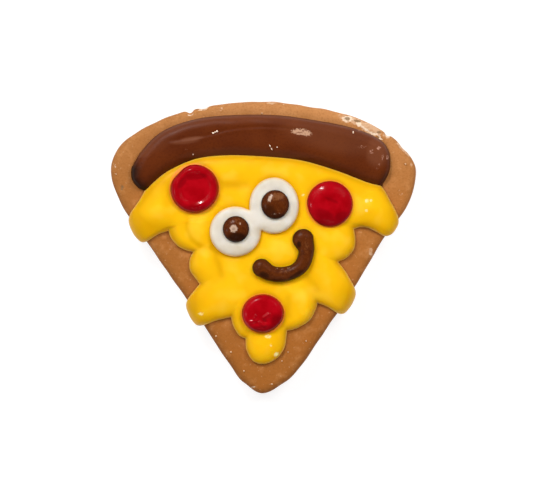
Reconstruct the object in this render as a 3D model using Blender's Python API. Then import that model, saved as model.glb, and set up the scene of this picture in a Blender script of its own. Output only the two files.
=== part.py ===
# A gourmet dog biscuit: a wedge of baked dough, iced as a smiling slice of pizza.
# It lies flat with its iced side up. Metres, +Z up, +Y towards the pizza's crust.
# The origin is the middle of its underside.

import math

import bmesh
import bpy
import numpy as np
from mathutils import Vector
from mathutils.geometry import delaunay_2d_cdt

MM = 0.001

# Room left between two pieces that touch.
CLEARANCE = 0.3 * MM

# Baked dough: a rolled and cut wedge with soft edges.
DOUGH_THICKNESS = 9.0 * MM
DOUGH_TOP_ROUND = 3.0 * MM
DOUGH_FOOT_ROUND = 1.5 * MM
DOUGH_POINTS = 96
DOUGH_TOP_STEPS = 5
DOUGH_FOOT_STEPS = 3

# Knots of the dough's outline in mm, anticlockwise from the middle of the crust.
DOUGH_OUTLINE = [
    (-0.3, 42.5), (-15.4, 41.3), (-28.4, 37.8), (-38.6, 32.3), (-43.2, 27.1), (-44.2, 20.7),
    (-40.9, 12.0), (-33.9, 1.6), (-22.0, -15.5), (-9.0, -35.2), (-4.9, -39.9), (-0.3, -42.5),
    (4.9, -40.2), (10.1, -35.8), (18.0, -24.5), (26.4, -12.0), (35.1, 2.5), (42.0, 12.0),
    (44.4, 20.4), (43.2, 26.0), (37.4, 32.3), (26.7, 38.0), (13.6, 41.0),
]

# Brown crust band: its lower edge is the seam with the yellow icing.
CRUST_HEIGHT = 2.7 * MM
CRUST_EDGE = 4.0 * MM
CRUST_SEAM = [
    (-33.6, 16.8), (-31.3, 19.0), (-27.0, 22.2), (-19.7, 25.4), (-11.0, 26.5),
    (-0.3, 26.2), (10.7, 25.1), (20.9, 22.2), (29.6, 19.3), (34.8, 18.3),
]
CRUST_BACK = [
    (36.4, 20.4), (37.1, 23.6), (36.0, 28.0), (33.3, 31.2), (26.7, 34.4), (16.5, 36.7),
    (3.5, 38.4), (-11.0, 38.3), (-21.0, 36.9), (-29.4, 33.6), (-35.0, 28.3), (-38.2, 23.1),
    (-38.1, 19.9), (-36.4, 17.5), (-34.8, 16.6),
]

# Yellow icing: lobes that run from notch to notch, measured flat along the icing,
# so that the part past the dough's edge is the length that hangs down its side.
CHEESE_LOBES = [
    [(-36.0, 13.5), (-38.3, 10.0), (-39.6, 6.2), (-39.0, 2.6), (-36.3, 0.9), (-33.3, 2.0),
     (-30.4, 3.8), (-27.4, 4.8)],
    [(-26.7, 2.8), (-24.9, 0.6), (-22.6, -0.7), (-20.3, -1.3)],
    [(-21.3, -3.6), (-21.2, -6.5), (-19.7, -8.8), (-18.4, -10.6)],
    [(-20.3, -12.9), (-22.3, -15.8), (-23.8, -18.7), (-23.2, -21.9), (-20.6, -23.6),
     (-17.4, -22.6), (-13.6, -21.2), (-9.3, -20.2)],
    [(-8.6, -22.8), (-7.0, -25.4), (-5.1, -26.4)],
    [(-4.8, -29.7), (-2.9, -32.9), (0.3, -33.8), (3.8, -32.3), (6.2, -29.1), (7.0, -24.2)],
    [(10.4, -23.2), (13.6, -21.0), (15.2, -18.1), (15.8, -16.1)],
    [(18.8, -17.3), (22.0, -19.3), (25.2, -20.6), (27.8, -18.7), (28.1, -15.2),
     (26.1, -10.9), (24.1, -7.2), (21.8, -4.2)],
    [(24.4, -2.9), (26.4, -0.4), (26.8, 2.5), (26.4, 5.4)],
    [(28.7, 5.9), (31.9, 5.2), (35.0, 3.4), (38.1, 3.9), (39.9, 6.9), (39.2, 10.0),
     (37.1, 14.1)],
]
CHEESE_EDGE_HEIGHT = 1.9 * MM
CHEESE_EDGE = 2.2 * MM
CHEESE_SWELL = 0.6 * MM
CHEESE_SWELL_WIDTH = 6.0 * MM
CHEESE_SEAT = 2.4 * MM
SEAT_MARGIN = 1.5 * MM
SEAT_FADE = 2.0 * MM

# Ridges, domes and valleys of the yellow icing: from, to, half-width and rise, in mm.
CHEESE_RELIEF = [
    ((-12.0, 23.2), (14.0, 22.2), 2.4, 0.5),
    ((-12.0, 18.6), (-3.0, 19.0), 1.8, -0.5),
    ((-9.5, 15.4), (-6.5, 15.8), 2.2, 0.4),
    ((-33.0, 8.0), (-30.5, 12.5), 3.2, 0.6),
    ((-24.6, 5.4), (-24.4, 6.4), 2.2, 0.5),
    ((-19.2, 5.4), (-19.0, 6.8), 2.2, 0.5),
    ((-21.9, 2.0), (-21.8, 7.5), 1.1, -0.4),
    ((-17.2, -5.4), (-16.2, -3.2), 2.8, 0.6),
    ((-14.0, -0.9), (-12.2, -7.2), 1.2, -0.6),
    ((-8.4, -8.4), (-7.0, -5.6), 2.6, 0.4),
    ((-19.0, -16.0), (-8.5, -15.3), 2.6, 0.5),
    ((3.4, 0.2), (5.0, 0.6), 2.0, 0.4),
    ((21.4, 0.4), (22.0, 2.2), 2.6, 0.5),
    ((17.6, -4.2), (21.0, -11.4), 2.4, 0.5),
    ((10.6, -16.6), (11.4, -15.2), 3.0, 0.7),
    ((6.9, -18.6), (7.0, -14.0), 1.1, -0.4),
    ((-0.8, -29.8), (-0.4, -28.2), 3.0, 0.5),
    ((29.5, 11.0), (31.5, 13.0), 3.6, 0.6),
]

# Red rounds: place, half-width and half-depth, then a flat in the rim (bearing in
# degrees, depth, spread in degrees), the dish in the middle and a small peak.
PEPPERONI_HEIGHT = 2.1 * MM
PEPPERONI_EDGE = 2.0 * MM
PEPPERONI = {
    "pepperoni_left": {
        "centre": (-19.8, 17.0), "size": (7.0, 7.0), "flat": (136.0, 0.5, 24.0),
        "dish": (-19.6, 16.8, 2.8, -1.0), "peak": (-22.6, 20.8, 1.0, 0.2),
    },
    "pepperoni_right": {
        "centre": (19.3, 12.6), "size": (6.6, 6.6), "flat": (210.0, 0.2, 30.0),
        "dish": (19.0, 11.5, 2.6, -0.3), "peak": (18.6, 16.0, 0.9, 0.6),
    },
    "pepperoni_bottom": {
        "centre": (0.0, -19.1), "size": (6.1, 5.6), "flat": (318.0, 0.25, 28.0),
        "dish": (-1.5, -20.5, 1.6, -0.2), "peak": (1.2, -19.0, 1.3, 0.3),
    },
}

# Eyes: two white rounds that have run into one, each with a dark pupil.
EYES = {
    "left": {"centre": (-8.0, 4.6), "size": (7.4, 7.2)},
    "right": {"centre": (3.2, 12.1), "size": (7.15, 8.1)},
}
EYE_NECK = 0.8 * MM
EYE_HEIGHT = 1.5 * MM
EYE_EDGE = 1.5 * MM
PUPILS = {
    "pupil_left": {"centre": (-7.8, 5.3), "size": (3.8, 3.8)},
    "pupil_right": {"centre": (3.5, 12.4), "size": (4.05, 4.2)},
}
PUPIL_HEIGHT = 2.0 * MM

# Smile: a piped line with swollen ends, as knots of x, y and half-width in mm.
SMILE_KNOTS = [
    (11.6, 2.3, 3.1), (12.5, -1.0, 2.3), (11.5, -4.6, 2.2), (9.1, -6.8, 2.1), (5.4, -7.8, 2.2),
    (2.2, -7.4, 2.3), (-0.4, -5.9, 2.7),
]
SMILE_HEIGHT = 2.3 * MM
SMILE_EDGE = 2.2 * MM

# Point spacing of the icing's outlines and faces.
FINE = 1.1 * MM
MEDIUM = 1.7 * MM
COARSE = 2.4 * MM
BEND_SPACING = 1.3 * MM
RING_ANGLES = (25, 52, 78)
NO_POINTS = np.empty((0, 2))
SHARP_ANGLE = 50

COLOURS = {
    "baked_dough": ("b97a42", 0.8),
    "brown_icing": ("663117", 0.45),
    "yellow_icing": ("fcc515", 0.45),
    "red_icing": ("b30212", 0.25),
    "white_icing": ("eee7da", 0.4),
    "dark_icing": ("3a1d10", 0.2),
}


def mm(points):
    return MM * np.array(points, dtype=float)


def catmull_rom(knots, closed):
    """A dense smooth curve through the knots, with 24 points to each span."""
    if closed:
        around = np.vstack([knots[-1:], knots, knots[:2]])
    else:
        before = 2 * knots[:1] - knots[1:2]
        after = 2 * knots[-1:] - knots[-2:-1]
        around = np.vstack([before, knots, after])
    t = np.linspace(0, 1, 24, endpoint=False)[:, None]
    spans = []
    for a, b, c, d in zip(around, around[1:], around[2:], around[3:]):
        spans.append(0.5 * (2 * b + (c - a) * t + (2 * a - 5 * b + 4 * c - d) * t ** 2
                            + (3 * b - a - 3 * c + d) * t ** 3))
    curve = np.vstack(spans)
    return curve if closed else np.vstack([curve, knots[-1:]])


def even_points(curve, spacing, closed):
    """The curve again, with its points the same distance apart."""
    line = np.vstack([curve, curve[:1]]) if closed else curve
    steps = np.linalg.norm(np.diff(line[:, :2], axis=0), axis=1)
    along = np.concatenate([[0], np.cumsum(steps)])
    count = max(2, round(along[-1] / spacing))
    stations = np.linspace(0, along[-1], count + 1)
    even = np.column_stack([np.interp(stations, along, column) for column in line.T])
    return even[:-1] if closed else even


def nearest_on_line(points, line, closed):
    """For each point, the nearest place on a line of straight pieces, and how far it is."""
    start = line if closed else line[:-1]
    end = np.roll(line, -1, axis=0) if closed else line[1:]
    span = end - start
    offset = points[:, None, :] - start
    share = np.clip((offset * span).sum(2) / (span * span).sum(1), 0, 1)
    place = start + share[:, :, None] * span
    away = np.linalg.norm(points[:, None, :] - place, axis=2)
    pick = away.argmin(axis=1)
    rows = np.arange(len(points))
    return place[rows, pick], away[rows, pick]


def inside(points, loop):
    """Whether each point lies inside a closed outline, by counting crossings."""
    x, y = points[:, :1], points[:, 1:]
    ax, ay = loop.T
    bx, by = np.roll(loop, -1, axis=0).T
    straddles = (ay > y) != (by > y)
    rise = np.where(by == ay, 1, by - ay)
    crossing = ax + (y - ay) * (bx - ax) / rise
    return ((straddles & (x < crossing)).sum(axis=1) % 2) == 1


def inward_normals(loop):
    """Unit normals that point into an anticlockwise outline."""
    along = np.roll(loop, -1, axis=0) - np.roll(loop, 1, axis=0)
    normal = np.column_stack([-along[:, 1], along[:, 0]])
    return normal / np.linalg.norm(normal, axis=1, keepdims=True)


def smoothstep(value):
    share = np.clip(value, 0, 1)
    return share * share * (3 - 2 * share)


def round_edge(inset, width):
    """The quarter-ellipse of a rounded edge: 0 at the outline, 1 from the width inwards."""
    short = 1 - np.clip(inset / width, 0, 1)
    return np.sqrt(1 - short * short)


def relief(points, features):
    """The sum of smooth ridges and valleys, each along a short straight line."""
    total = np.zeros(len(points))
    for start, end, half_width, rise in features:
        _, away = nearest_on_line(points, mm([start, end]), False)
        total += rise * MM * np.exp(-(away / (half_width * MM)) ** 2)
    return total


dough_curve = catmull_rom(mm(DOUGH_OUTLINE), True)
dough_spacing = np.linalg.norm(np.diff(dough_curve, axis=0), axis=1).sum() / DOUGH_POINTS
dough_loop = even_points(dough_curve, dough_spacing, True)
dough_inward = inward_normals(dough_loop)
flat_top_loop = dough_loop + DOUGH_TOP_ROUND * dough_inward


def over_dough(plan, lift):
    """Lays flat icing on the dough: past the flat top it bends round the edge and hangs."""
    foot, beyond = nearest_on_line(plan, flat_top_loop, True)
    beyond[inside(plan, flat_top_loop)] = 0
    outward = (plan - foot) / np.maximum(beyond, 1e-9)[:, None]
    outward[beyond == 0] = 0
    bend = np.minimum(beyond / DOUGH_TOP_ROUND, math.pi / 2)
    hang = np.maximum(beyond - DOUGH_TOP_ROUND * math.pi / 2, 0)
    reach = (DOUGH_TOP_ROUND + lift) * np.sin(bend)
    flat = np.where((beyond == 0)[:, None], plan, foot + outward * reach[:, None])
    height = DOUGH_THICKNESS - DOUGH_TOP_ROUND + (DOUGH_TOP_ROUND + lift) * np.cos(bend) - hang
    return np.column_stack([flat, height])


def on_level(level):
    """Lays flat icing on a level seat."""
    return lambda plan, lift: np.column_stack([plan, level + lift])


def ring_points(loop, inset):
    """Points set in from an outline, without those that come too near another stretch."""
    ring = loop + inset * inward_normals(loop)
    _, away = nearest_on_line(ring, loop, True)
    return ring[inside(ring, loop) & (away > 0.93 * inset)]


def grid_points(loop, margin, spacing):
    """An even triangular grid of points inside an outline, a margin away from it."""
    low, high = loop.min(axis=0), loop.max(axis=0)
    rows = []
    for row, y in enumerate(np.arange(low[1], high[1], spacing * math.sin(math.radians(60)))):
        x = np.arange(low[0] + (row % 2) * spacing / 2, high[0], spacing)
        rows.append(np.column_stack([x, np.full_like(x, y)]))
    grid = np.vstack(rows)
    _, away = nearest_on_line(grid, loop, True)
    return grid[inside(grid, loop) & (away > margin)]


def fill_outline(loop, inner):
    """Triangles that fill an outline through the given inner points."""
    points = [Vector(point) for point in np.vstack([loop, inner])]
    count = len(loop)
    edges = [(k, (k + 1) % count) for k in range(count)]
    verts, _, faces, _, _, _ = delaunay_2d_cdt(points, edges, [], 1, 1e-8)
    return np.array([tuple(vert) for vert in verts]), faces


def principled(name):
    colour, roughness = COLOURS[name]
    material = bpy.data.materials.new(name)
    material.use_nodes = True
    shader = material.node_tree.nodes["Principled BSDF"]
    srgb = np.array([int(colour[k:k + 2], 16) / 255 for k in (0, 2, 4)])
    linear = np.where(srgb <= 0.04045, srgb / 12.92, ((srgb + 0.055) / 1.055) ** 2.4)
    shader.inputs["Base Color"].default_value = (*linear, 1)
    shader.inputs["Roughness"].default_value = roughness
    shader.inputs["Metallic"].default_value = 0
    return material


def add_object(name, verts, faces, material):
    mesh = bpy.data.meshes.new(name)
    mesh.from_pydata([tuple(vert) for vert in verts], [], [tuple(face) for face in faces])
    shape = bmesh.new()
    shape.from_mesh(mesh)
    bmesh.ops.recalc_face_normals(shape, faces=shape.faces)
    shape.to_mesh(mesh)
    shape.free()
    mesh.shade_smooth()
    mesh.set_sharp_from_angle(angle=math.radians(SHARP_ANGLE))
    mesh.materials.append(material)
    made = bpy.data.objects.new(name, mesh)
    bpy.context.collection.objects.link(made)
    return made


def icing_solid(name, loop, rise, lay, edge, spacing, material, under=NO_POINTS):
    """A closed piece of icing: a shaped upper face and an underside that meet at the outline."""
    insets = [edge * (1 - math.cos(math.radians(angle))) for angle in RING_ANGLES]
    inner = [ring_points(loop, inset) for inset in insets]
    inner.append(grid_points(loop, insets[-1] + 0.6 * spacing, spacing))
    plan, top_faces = fill_outline(loop, np.vstack(inner))
    _, inset = nearest_on_line(plan, loop, True)
    count = len(loop)
    inset[:count] = 0
    top = lay(plan, rise(plan, inset))
    low_plan, low_faces = fill_outline(loop, under)
    low = lay(low_plan, np.zeros(len(low_plan)))
    shift = len(top) - count
    verts = np.vstack([top, low[count:]])
    faces = [tuple(face) for face in top_faces]
    for face in low_faces:
        faces.append(tuple(k if k < count else k + shift for k in reversed(face)))
    return add_object(name, verts, faces, material)


def build_dough(material):
    """The dough wedge: rings from the foot up its side and over the rounded top edge."""
    foot_bends = np.linspace(math.pi / 2, 0, DOUGH_FOOT_STEPS + 1)
    top_bends = np.linspace(0, math.pi / 2, DOUGH_TOP_STEPS + 1)
    profile = [(DOUGH_FOOT_ROUND * (1 - math.cos(bend)), DOUGH_FOOT_ROUND * (1 - math.sin(bend)))
               for bend in foot_bends]
    shoulder = DOUGH_THICKNESS - DOUGH_TOP_ROUND
    profile += [(DOUGH_TOP_ROUND * (1 - math.cos(bend)), shoulder + DOUGH_TOP_ROUND * math.sin(bend))
                for bend in top_bends]
    rings = []
    for inset, height in profile:
        ring = dough_loop + inset * dough_inward
        rings.append(np.column_stack([ring, np.full(len(ring), height)]))
    verts = np.vstack(rings)
    count = len(dough_loop)
    faces = [tuple(range(count))[::-1]]
    for level in range(len(rings) - 1):
        for k in range(count):
            a = level * count + k
            b = level * count + (k + 1) % count
            faces.append((a, b, b + count, a + count))
    faces.append(tuple(range(len(verts) - count, len(verts))))
    return add_object("biscuit", verts, faces, material)


def crust_seam(offset):
    """The crust band's lower edge, left to right, moved down by the offset."""
    curve = even_points(catmull_rom(mm(CRUST_SEAM), False), MEDIUM, False)
    along = np.gradient(curve, axis=0)
    down = np.column_stack([along[:, 1], -along[:, 0]])
    return curve + offset * down / np.linalg.norm(down, axis=1, keepdims=True)


def build_crust(material):
    """The domed brown band along the wide end."""
    seam = crust_seam(0)
    back = np.vstack([seam[-1:], mm(CRUST_BACK), seam[:1]])
    back = even_points(catmull_rom(back, False), MEDIUM, False)
    loop = np.vstack([seam, back[1:-1]])
    lay = on_level(DOUGH_THICKNESS + CLEARANCE)

    def rise(plan, inset):
        return CRUST_HEIGHT * round_edge(inset, CRUST_EDGE)

    return icing_solid("crust_icing", loop, rise, lay, CRUST_EDGE, COARSE, material)


def cheese_loop():
    """The lobed outline of the yellow icing, closed along the crust's seam."""
    seam = crust_seam(CLEARANCE)[::-1]
    corner = seam[-1:]
    pieces = [seam]
    for index, lobe in enumerate(CHEESE_LOBES):
        knots = np.vstack([corner, mm(lobe)])
        if index == len(CHEESE_LOBES) - 1:
            knots = np.vstack([knots, seam[:1]])
        pieces.append(even_points(catmull_rom(knots, False), MEDIUM, False)[1:])
        corner = knots[-1:]
    return np.vstack(pieces)[:-1]


def round_loop(centre, size, flat=None):
    """A round outline: an ellipse, with one side pressed in where a flat is given."""
    turn = np.linspace(0, 2 * math.pi, 360, endpoint=False)
    shrink = np.zeros_like(turn)
    if flat:
        bearing, depth, spread = flat
        apart = (np.degrees(turn) - bearing + 180) % 360 - 180
        shrink = depth * np.exp(-(apart / spread) ** 2)
    x = centre[0] + (size[0] - shrink) * np.cos(turn)
    y = centre[1] + (size[1] - shrink) * np.sin(turn)
    return even_points(mm(np.column_stack([x, y])), FINE, True)


def reach_to_oval(start, spokes, oval):
    """How far each spoke runs from a place inside an oval to the oval's outline."""
    size = mm(oval["size"])
    offset = (start - mm(oval["centre"])) / size
    slant = spokes / size
    a = (slant * slant).sum(axis=1)
    b = slant @ offset
    c = offset @ offset - 1
    return (np.sqrt(b * b - a * c) - b) / a


def eyes_loop():
    """The outline of two ovals run together, seen from the middle between them."""
    middle = (mm(EYES["left"]["centre"]) + mm(EYES["right"]["centre"])) / 2
    turn = np.linspace(0, 2 * math.pi, 720, endpoint=False)
    spokes = np.column_stack([np.cos(turn), np.sin(turn)])
    one = reach_to_oval(middle, spokes, EYES["left"])
    other = reach_to_oval(middle, spokes, EYES["right"])
    reach = (one + other + np.sqrt((one - other) ** 2 + EYE_NECK ** 2)) / 2
    return even_points(middle + reach[:, None] * spokes, FINE, True)


def smile_loop():
    """The outline of the piped smile: both sides of its line and a half-round at each end."""
    stations = even_points(catmull_rom(mm(SMILE_KNOTS), False), FINE, False)
    line, half = stations[:, :2], stations[:, 2]
    along = np.gradient(line, axis=0)
    heading = np.arctan2(along[:, 1], along[:, 0])

    def offset(k, turn):
        spoke = np.column_stack([np.cos(heading[k] + turn), np.sin(heading[k] + turn)])
        return line[k] + half[k, None] * spoke

    every = np.arange(len(line))
    right_side = offset(every, -math.pi / 2)
    left_side = offset(every[::-1], math.pi / 2)
    turns = np.linspace(-math.pi / 2, math.pi / 2, 24)[1:-1]
    far_end = offset(np.full(len(turns), len(line) - 1), turns)
    near_end = offset(np.zeros(len(turns), dtype=int), turns + math.pi)
    return even_points(np.vstack([right_side, far_end, left_side, near_end]), FINE, True)


def build_cheese(material, seats):
    """The yellow icing, with a level seat under each topping."""

    def rise(plan, inset):
        edge = round_edge(inset, CHEESE_EDGE)
        swell = CHEESE_SWELL * smoothstep(inset / CHEESE_SWELL_WIDTH)
        free = CHEESE_EDGE_HEIGHT + swell + relief(plan, CHEESE_RELIEF)
        seated = np.zeros(len(plan))
        for loop in seats:
            _, away = nearest_on_line(plan, loop, True)
            away[inside(plan, loop)] = 0
            seated = np.maximum(seated, 1 - smoothstep((away - SEAT_MARGIN) / SEAT_FADE))
        return edge * (free + seated * (CHEESE_SEAT - free))

    def lay(plan, lift):
        return over_dough(plan, lift + CLEARANCE)

    loop = cheese_loop()
    bending = grid_points(loop, BEND_SPACING / 2, BEND_SPACING)
    level_part = flat_top_loop + 2 * BEND_SPACING * inward_normals(flat_top_loop)
    bending = bending[~inside(bending, level_part)]
    return icing_solid("cheese_icing", loop, rise, lay, CHEESE_EDGE, COARSE, material, bending)


def build_pepperoni(name, loop, spec, level, material):
    """A red round with a dished middle and a small peak."""
    features = []
    for x, y, half_width, rise in (spec["dish"], spec["peak"]):
        features.append(((x, y), (x + 0.01, y), half_width, rise))

    def rise(plan, inset):
        return round_edge(inset, PEPPERONI_EDGE) * (PEPPERONI_HEIGHT + relief(plan, features))

    return icing_solid(name, loop, rise, on_level(level), PEPPERONI_EDGE, FINE, material)


def build_eyes(loop, level, material):
    """The two white rounds, level on top where the pupils sit."""

    def rise(plan, inset):
        return EYE_HEIGHT * round_edge(inset, EYE_EDGE)

    return icing_solid("eye_whites", loop, rise, on_level(level), EYE_EDGE, MEDIUM, material)


def build_pupil(name, spec, level, material):
    """A glossy dome."""
    edge = min(spec["size"]) * MM

    def rise(plan, inset):
        return PUPIL_HEIGHT * round_edge(inset, edge)

    loop = round_loop(spec["centre"], spec["size"])
    return icing_solid(name, loop, rise, on_level(level), edge, FINE, material)


def build_smile(loop, level, material):
    """The piped smile, round in section."""

    def rise(plan, inset):
        return SMILE_HEIGHT * round_edge(inset, SMILE_EDGE)

    return icing_solid("smile", loop, rise, on_level(level), SMILE_EDGE, FINE, material)


def clear_scene():
    for old in list(bpy.data.objects):
        bpy.data.objects.remove(old, do_unlink=True)


def main():
    clear_scene()
    dough, brown, yellow, red, white, dark = [principled(name) for name in COLOURS]
    rounds = {name: round_loop(spec["centre"], spec["size"], spec["flat"])
              for name, spec in PEPPERONI.items()}
    eyes = eyes_loop()
    smile = smile_loop()
    topping_level = DOUGH_THICKNESS + CHEESE_SEAT + 2 * CLEARANCE
    pupil_level = topping_level + EYE_HEIGHT + CLEARANCE

    build_dough(dough)
    build_crust(brown)
    build_cheese(yellow, list(rounds.values()) + [eyes, smile])
    for name, loop in rounds.items():
        build_pepperoni(name, loop, PEPPERONI[name], topping_level, red)
    build_eyes(eyes, topping_level, white)
    for name, spec in PUPILS.items():
        build_pupil(name, spec, pupil_level, dark)
    build_smile(smile, topping_level, brown)


main()
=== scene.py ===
import math

import bpy
import numpy as np
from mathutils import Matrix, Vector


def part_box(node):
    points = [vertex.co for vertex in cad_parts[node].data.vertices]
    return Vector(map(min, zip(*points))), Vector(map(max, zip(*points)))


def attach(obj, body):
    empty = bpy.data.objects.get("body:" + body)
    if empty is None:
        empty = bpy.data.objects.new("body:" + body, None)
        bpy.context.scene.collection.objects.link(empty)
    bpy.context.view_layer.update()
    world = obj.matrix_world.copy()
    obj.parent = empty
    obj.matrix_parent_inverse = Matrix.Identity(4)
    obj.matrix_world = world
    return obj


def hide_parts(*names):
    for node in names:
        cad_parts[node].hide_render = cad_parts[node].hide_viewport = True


# A dog biscuit iced as a smiling slice, flat on a lit white table and seen from straight above.
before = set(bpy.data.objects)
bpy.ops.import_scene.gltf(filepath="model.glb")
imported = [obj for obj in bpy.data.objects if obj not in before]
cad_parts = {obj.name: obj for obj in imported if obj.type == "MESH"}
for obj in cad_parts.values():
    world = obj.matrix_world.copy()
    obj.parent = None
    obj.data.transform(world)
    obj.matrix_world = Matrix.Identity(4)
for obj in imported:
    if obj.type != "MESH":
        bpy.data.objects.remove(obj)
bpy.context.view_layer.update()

mm = 0.001          # shapes are worked out in millimetres and scaled once, in placePiece
clearance = 0.3     # the solids keep this gap, which the icing fills here
blockSize = 3000    # points measured against a line at a time, to spare memory


# Highest and lowest level of a solid, in mm.
def nodeTop(name):
    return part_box(name)[1][2] / mm


def nodeFoot(name):
    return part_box(name)[0][2] / mm


doughTop = nodeTop("biscuit")


# Curves, distances and marks

# A smooth curve through knots. Each span is the cubic whose slope at a knot
# is half the step between that knot's two neighbours.
def smoothCurve(knots, closed=False, perSpan=40):
    knots = np.array(knots, float)
    if closed:
        around = np.vstack([knots[-1:], knots, knots[:2]])
    else:
        around = np.vstack([2 * knots[:1] - knots[1:2], knots, 2 * knots[-1:] - knots[-2:-1]])
    a, b, c, d = (around[k:len(around) - 3 + k, None] for k in range(4))
    t = np.linspace(0, 1, perSpan, endpoint=False)[None, :, None]
    spans = 0.5 * (2 * b + (c - a) * t + (2 * a - 5 * b + 4 * c - d) * t ** 2
                   + (3 * b - a - 3 * c + d) * t ** 3)
    curve = spans.reshape(-1, knots.shape[1])
    return curve if closed else np.vstack([curve, knots[-1:]])


# The same curve with its points the same distance apart along it.
def evenSteps(curve, count, closed=False):
    line = np.vstack([curve, curve[:1]]) if closed else curve
    along = np.concatenate([[0], np.cumsum(np.linalg.norm(np.diff(line[:, :2], axis=0), axis=1))])
    stations = np.linspace(0, along[-1], count + 1 if closed else count)
    even = np.column_stack([np.interp(stations, along, column) for column in line.T])
    return even[:-1] if closed else even


# Nearest place on a chain of straight pieces, and the distance to it: the point's offset from each
# piece's start is laid along the piece, held between its ends, and the shortest rest is picked.
def nearestOn(points, line, closed=True):
    start = line if closed else line[:-1]
    step = (np.roll(line, -1, axis=0) if closed else line[1:]) - start
    square = np.maximum((step * step).sum(1), 1e-12)    # never 0, so that it can divide
    places, gaps = [], []
    for block in np.array_split(points, len(points) // blockSize + 1):
        offset = block[:, None] - start
        share = np.clip((offset * step).sum(2) / square, 0, 1)
        away = offset - share[..., None] * step
        gap = (away * away).sum(2)
        pick = gap.argmin(1)
        rows = np.arange(len(block))
        places.append(block - away[rows, pick])
        gaps.append(np.sqrt(gap[rows, pick]))
    return np.vstack(places), np.concatenate(gaps)


# Odd number of crossings to the right means inside.
def insideOf(points, loop):
    ax, ay = loop.T
    bx, by = np.roll(loop, -1, axis=0).T
    found = []
    for block in np.array_split(points, len(points) // blockSize + 1):
        x, y = block[:, :1], block[:, 1:2]
        straddles = (ay > y) != (by > y)
        crossing = ax + (y - ay) * (bx - ax) / np.where(by == ay, 1, by - ay)
        found.append((straddles & (x < crossing)).sum(1) % 2 == 1)
    return np.concatenate(found)


# Unit normals into an anticlockwise loop: the step between both neighbours, turned left.
def inward(loop):
    along = np.roll(loop, -1, axis=0) - np.roll(loop, 1, axis=0)
    normal = np.column_stack([-along[:, 1], along[:, 0]])
    return normal / np.linalg.norm(normal, axis=1, keepdims=True)


# 0 to 1 with level ends: three times the square less twice the cube.
def smoothStep(value):
    share = np.clip(value, 0, 1)
    return share * share * (3 - 2 * share)


# Quarter of a superellipse: 0 at the outline, 1 from the width inwards. A fullness of 2 is a plain
# ellipse, and a higher one stays level nearer to the outline.
def roundEdge(inset, width, fullness=2.0):
    short = 1 - np.clip(inset / width, 0, 1)
    return (1 - short ** fullness) ** (1 / fullness)


# 1 on a line, falling off as e to the minus square of the distance in widths.
def bell(away, width):
    return np.exp(-(away / width) ** 2)


# Soft bumps and grooves: each falls off as a bell across a straight or bent line.
def bells(points, marks):
    total = np.zeros(len(points))
    for line, halfWidth, rise in marks:
        _, away = nearestOn(points, np.array(line, float), closed=False)
        total += rise * bell(away, halfWidth)
    return total


# Full up to 0.6 of a mark's half-size, gone 0.7 further out.
def fade(reach):
    return 1 - smoothStep((reach - 0.6) / 0.7)


# Soft-edged ovals, turned anticlockwise in radians. Where two meet, the stronger shows.
def blots(points, marks):
    total = np.zeros(len(points))
    for centre, halves, turn, strength in marks:
        offset = points - np.array(centre)
        along = np.array([math.cos(turn), math.sin(turn)])
        across = np.array([-along[1], along[0]])
        reach = np.hypot(offset @ along / halves[0], offset @ across / halves[1])
        total = np.maximum(total, strength * fade(reach))
    return total


# The same along a line, across its half-width.
def streaks(points, marks):
    total = np.zeros(len(points))
    for line, halfWidth, strength in marks:
        _, away = nearestOn(points, np.array(line, float), closed=False)
        total = np.maximum(total, strength * fade(away / halfWidth))
    return total


# Gentle seeded unevenness, about 1 either way: sine waves of about one length in mm, in random
# directions, added up and divided by the root of their count.
def unevenness(x, y, length, seed, count=10):
    draw = np.random.default_rng(seed)
    total = np.zeros_like(x)
    for turn, phase, stretch in zip(draw.uniform(0, 2 * math.pi, count),
                                    draw.uniform(0, 2 * math.pi, count),
                                    draw.uniform(0.65, 1.5, count)):
        total += np.sin(2 * math.pi * stretch / length * (x * math.cos(turn) + y * math.sin(turn)) + phase)
    return total / math.sqrt(count)


# Meshes

# Faces of a skin over stacked rings: squares between rings, then a fan of triangles at each end,
# whose two middle points follow the rings' own.
def skinFaces(rows, around):
    here = np.arange(around)
    after = np.roll(here, -1)
    base = np.arange(rows - 1)[:, None] * around
    quads = np.stack([base + here, base + after, base + around + after, base + around + here], -1)
    last = (rows - 1) * around
    low = np.column_stack([after, here, np.full(around, rows * around)])
    high = np.column_stack([last + here, last + after, np.full(around, rows * around + 1)])
    return quads.reshape(-1, 4), np.vstack([low, high])


# A closed skin over a stack of rings, from the underside to the top. Each end closes in the mean of
# its ring, and the marks hold a strength for each point, ring by ring.
def addPiece(name, rings, material, replaces=(), marks=None):
    rings = np.array(rings)
    rows, around, _ = rings.shape
    points = np.vstack([rings.reshape(-1, 3), rings[0].mean(0), rings[-1].mean(0)])
    quads, fans = skinFaces(rows, around)
    faces = quads.tolist() + fans.tolist()
    poled = {}
    for label, values in (marks or {}).items():
        rowed = np.array(values).reshape(rows, around)
        poled[label] = np.concatenate([rowed.reshape(-1), [rowed[0].mean(), rowed[-1].mean()]])
    return placePiece(name, points, faces, material, replaces, poled)


# Points in mm become a smooth mesh in metres, tied to the solids it stands for.
def placePiece(name, points, faces, material, replaces=(), marks=None):
    mesh = bpy.data.meshes.new(name)
    mesh.from_pydata((points * mm).tolist(), [], faces)
    for label, values in (marks or {}).items():
        mesh.attributes.new(label, "FLOAT", "POINT").data.foreach_set("value", values)
    mesh.shade_smooth()
    mesh.materials.append(material)
    piece = bpy.data.objects.new(name, mesh)
    bpy.context.collection.objects.link(piece)
    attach(piece, "root")
    if replaces:
        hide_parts(*replaces)
    print(name, len(mesh.polygons), "faces")
    return piece


# Materials

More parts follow.
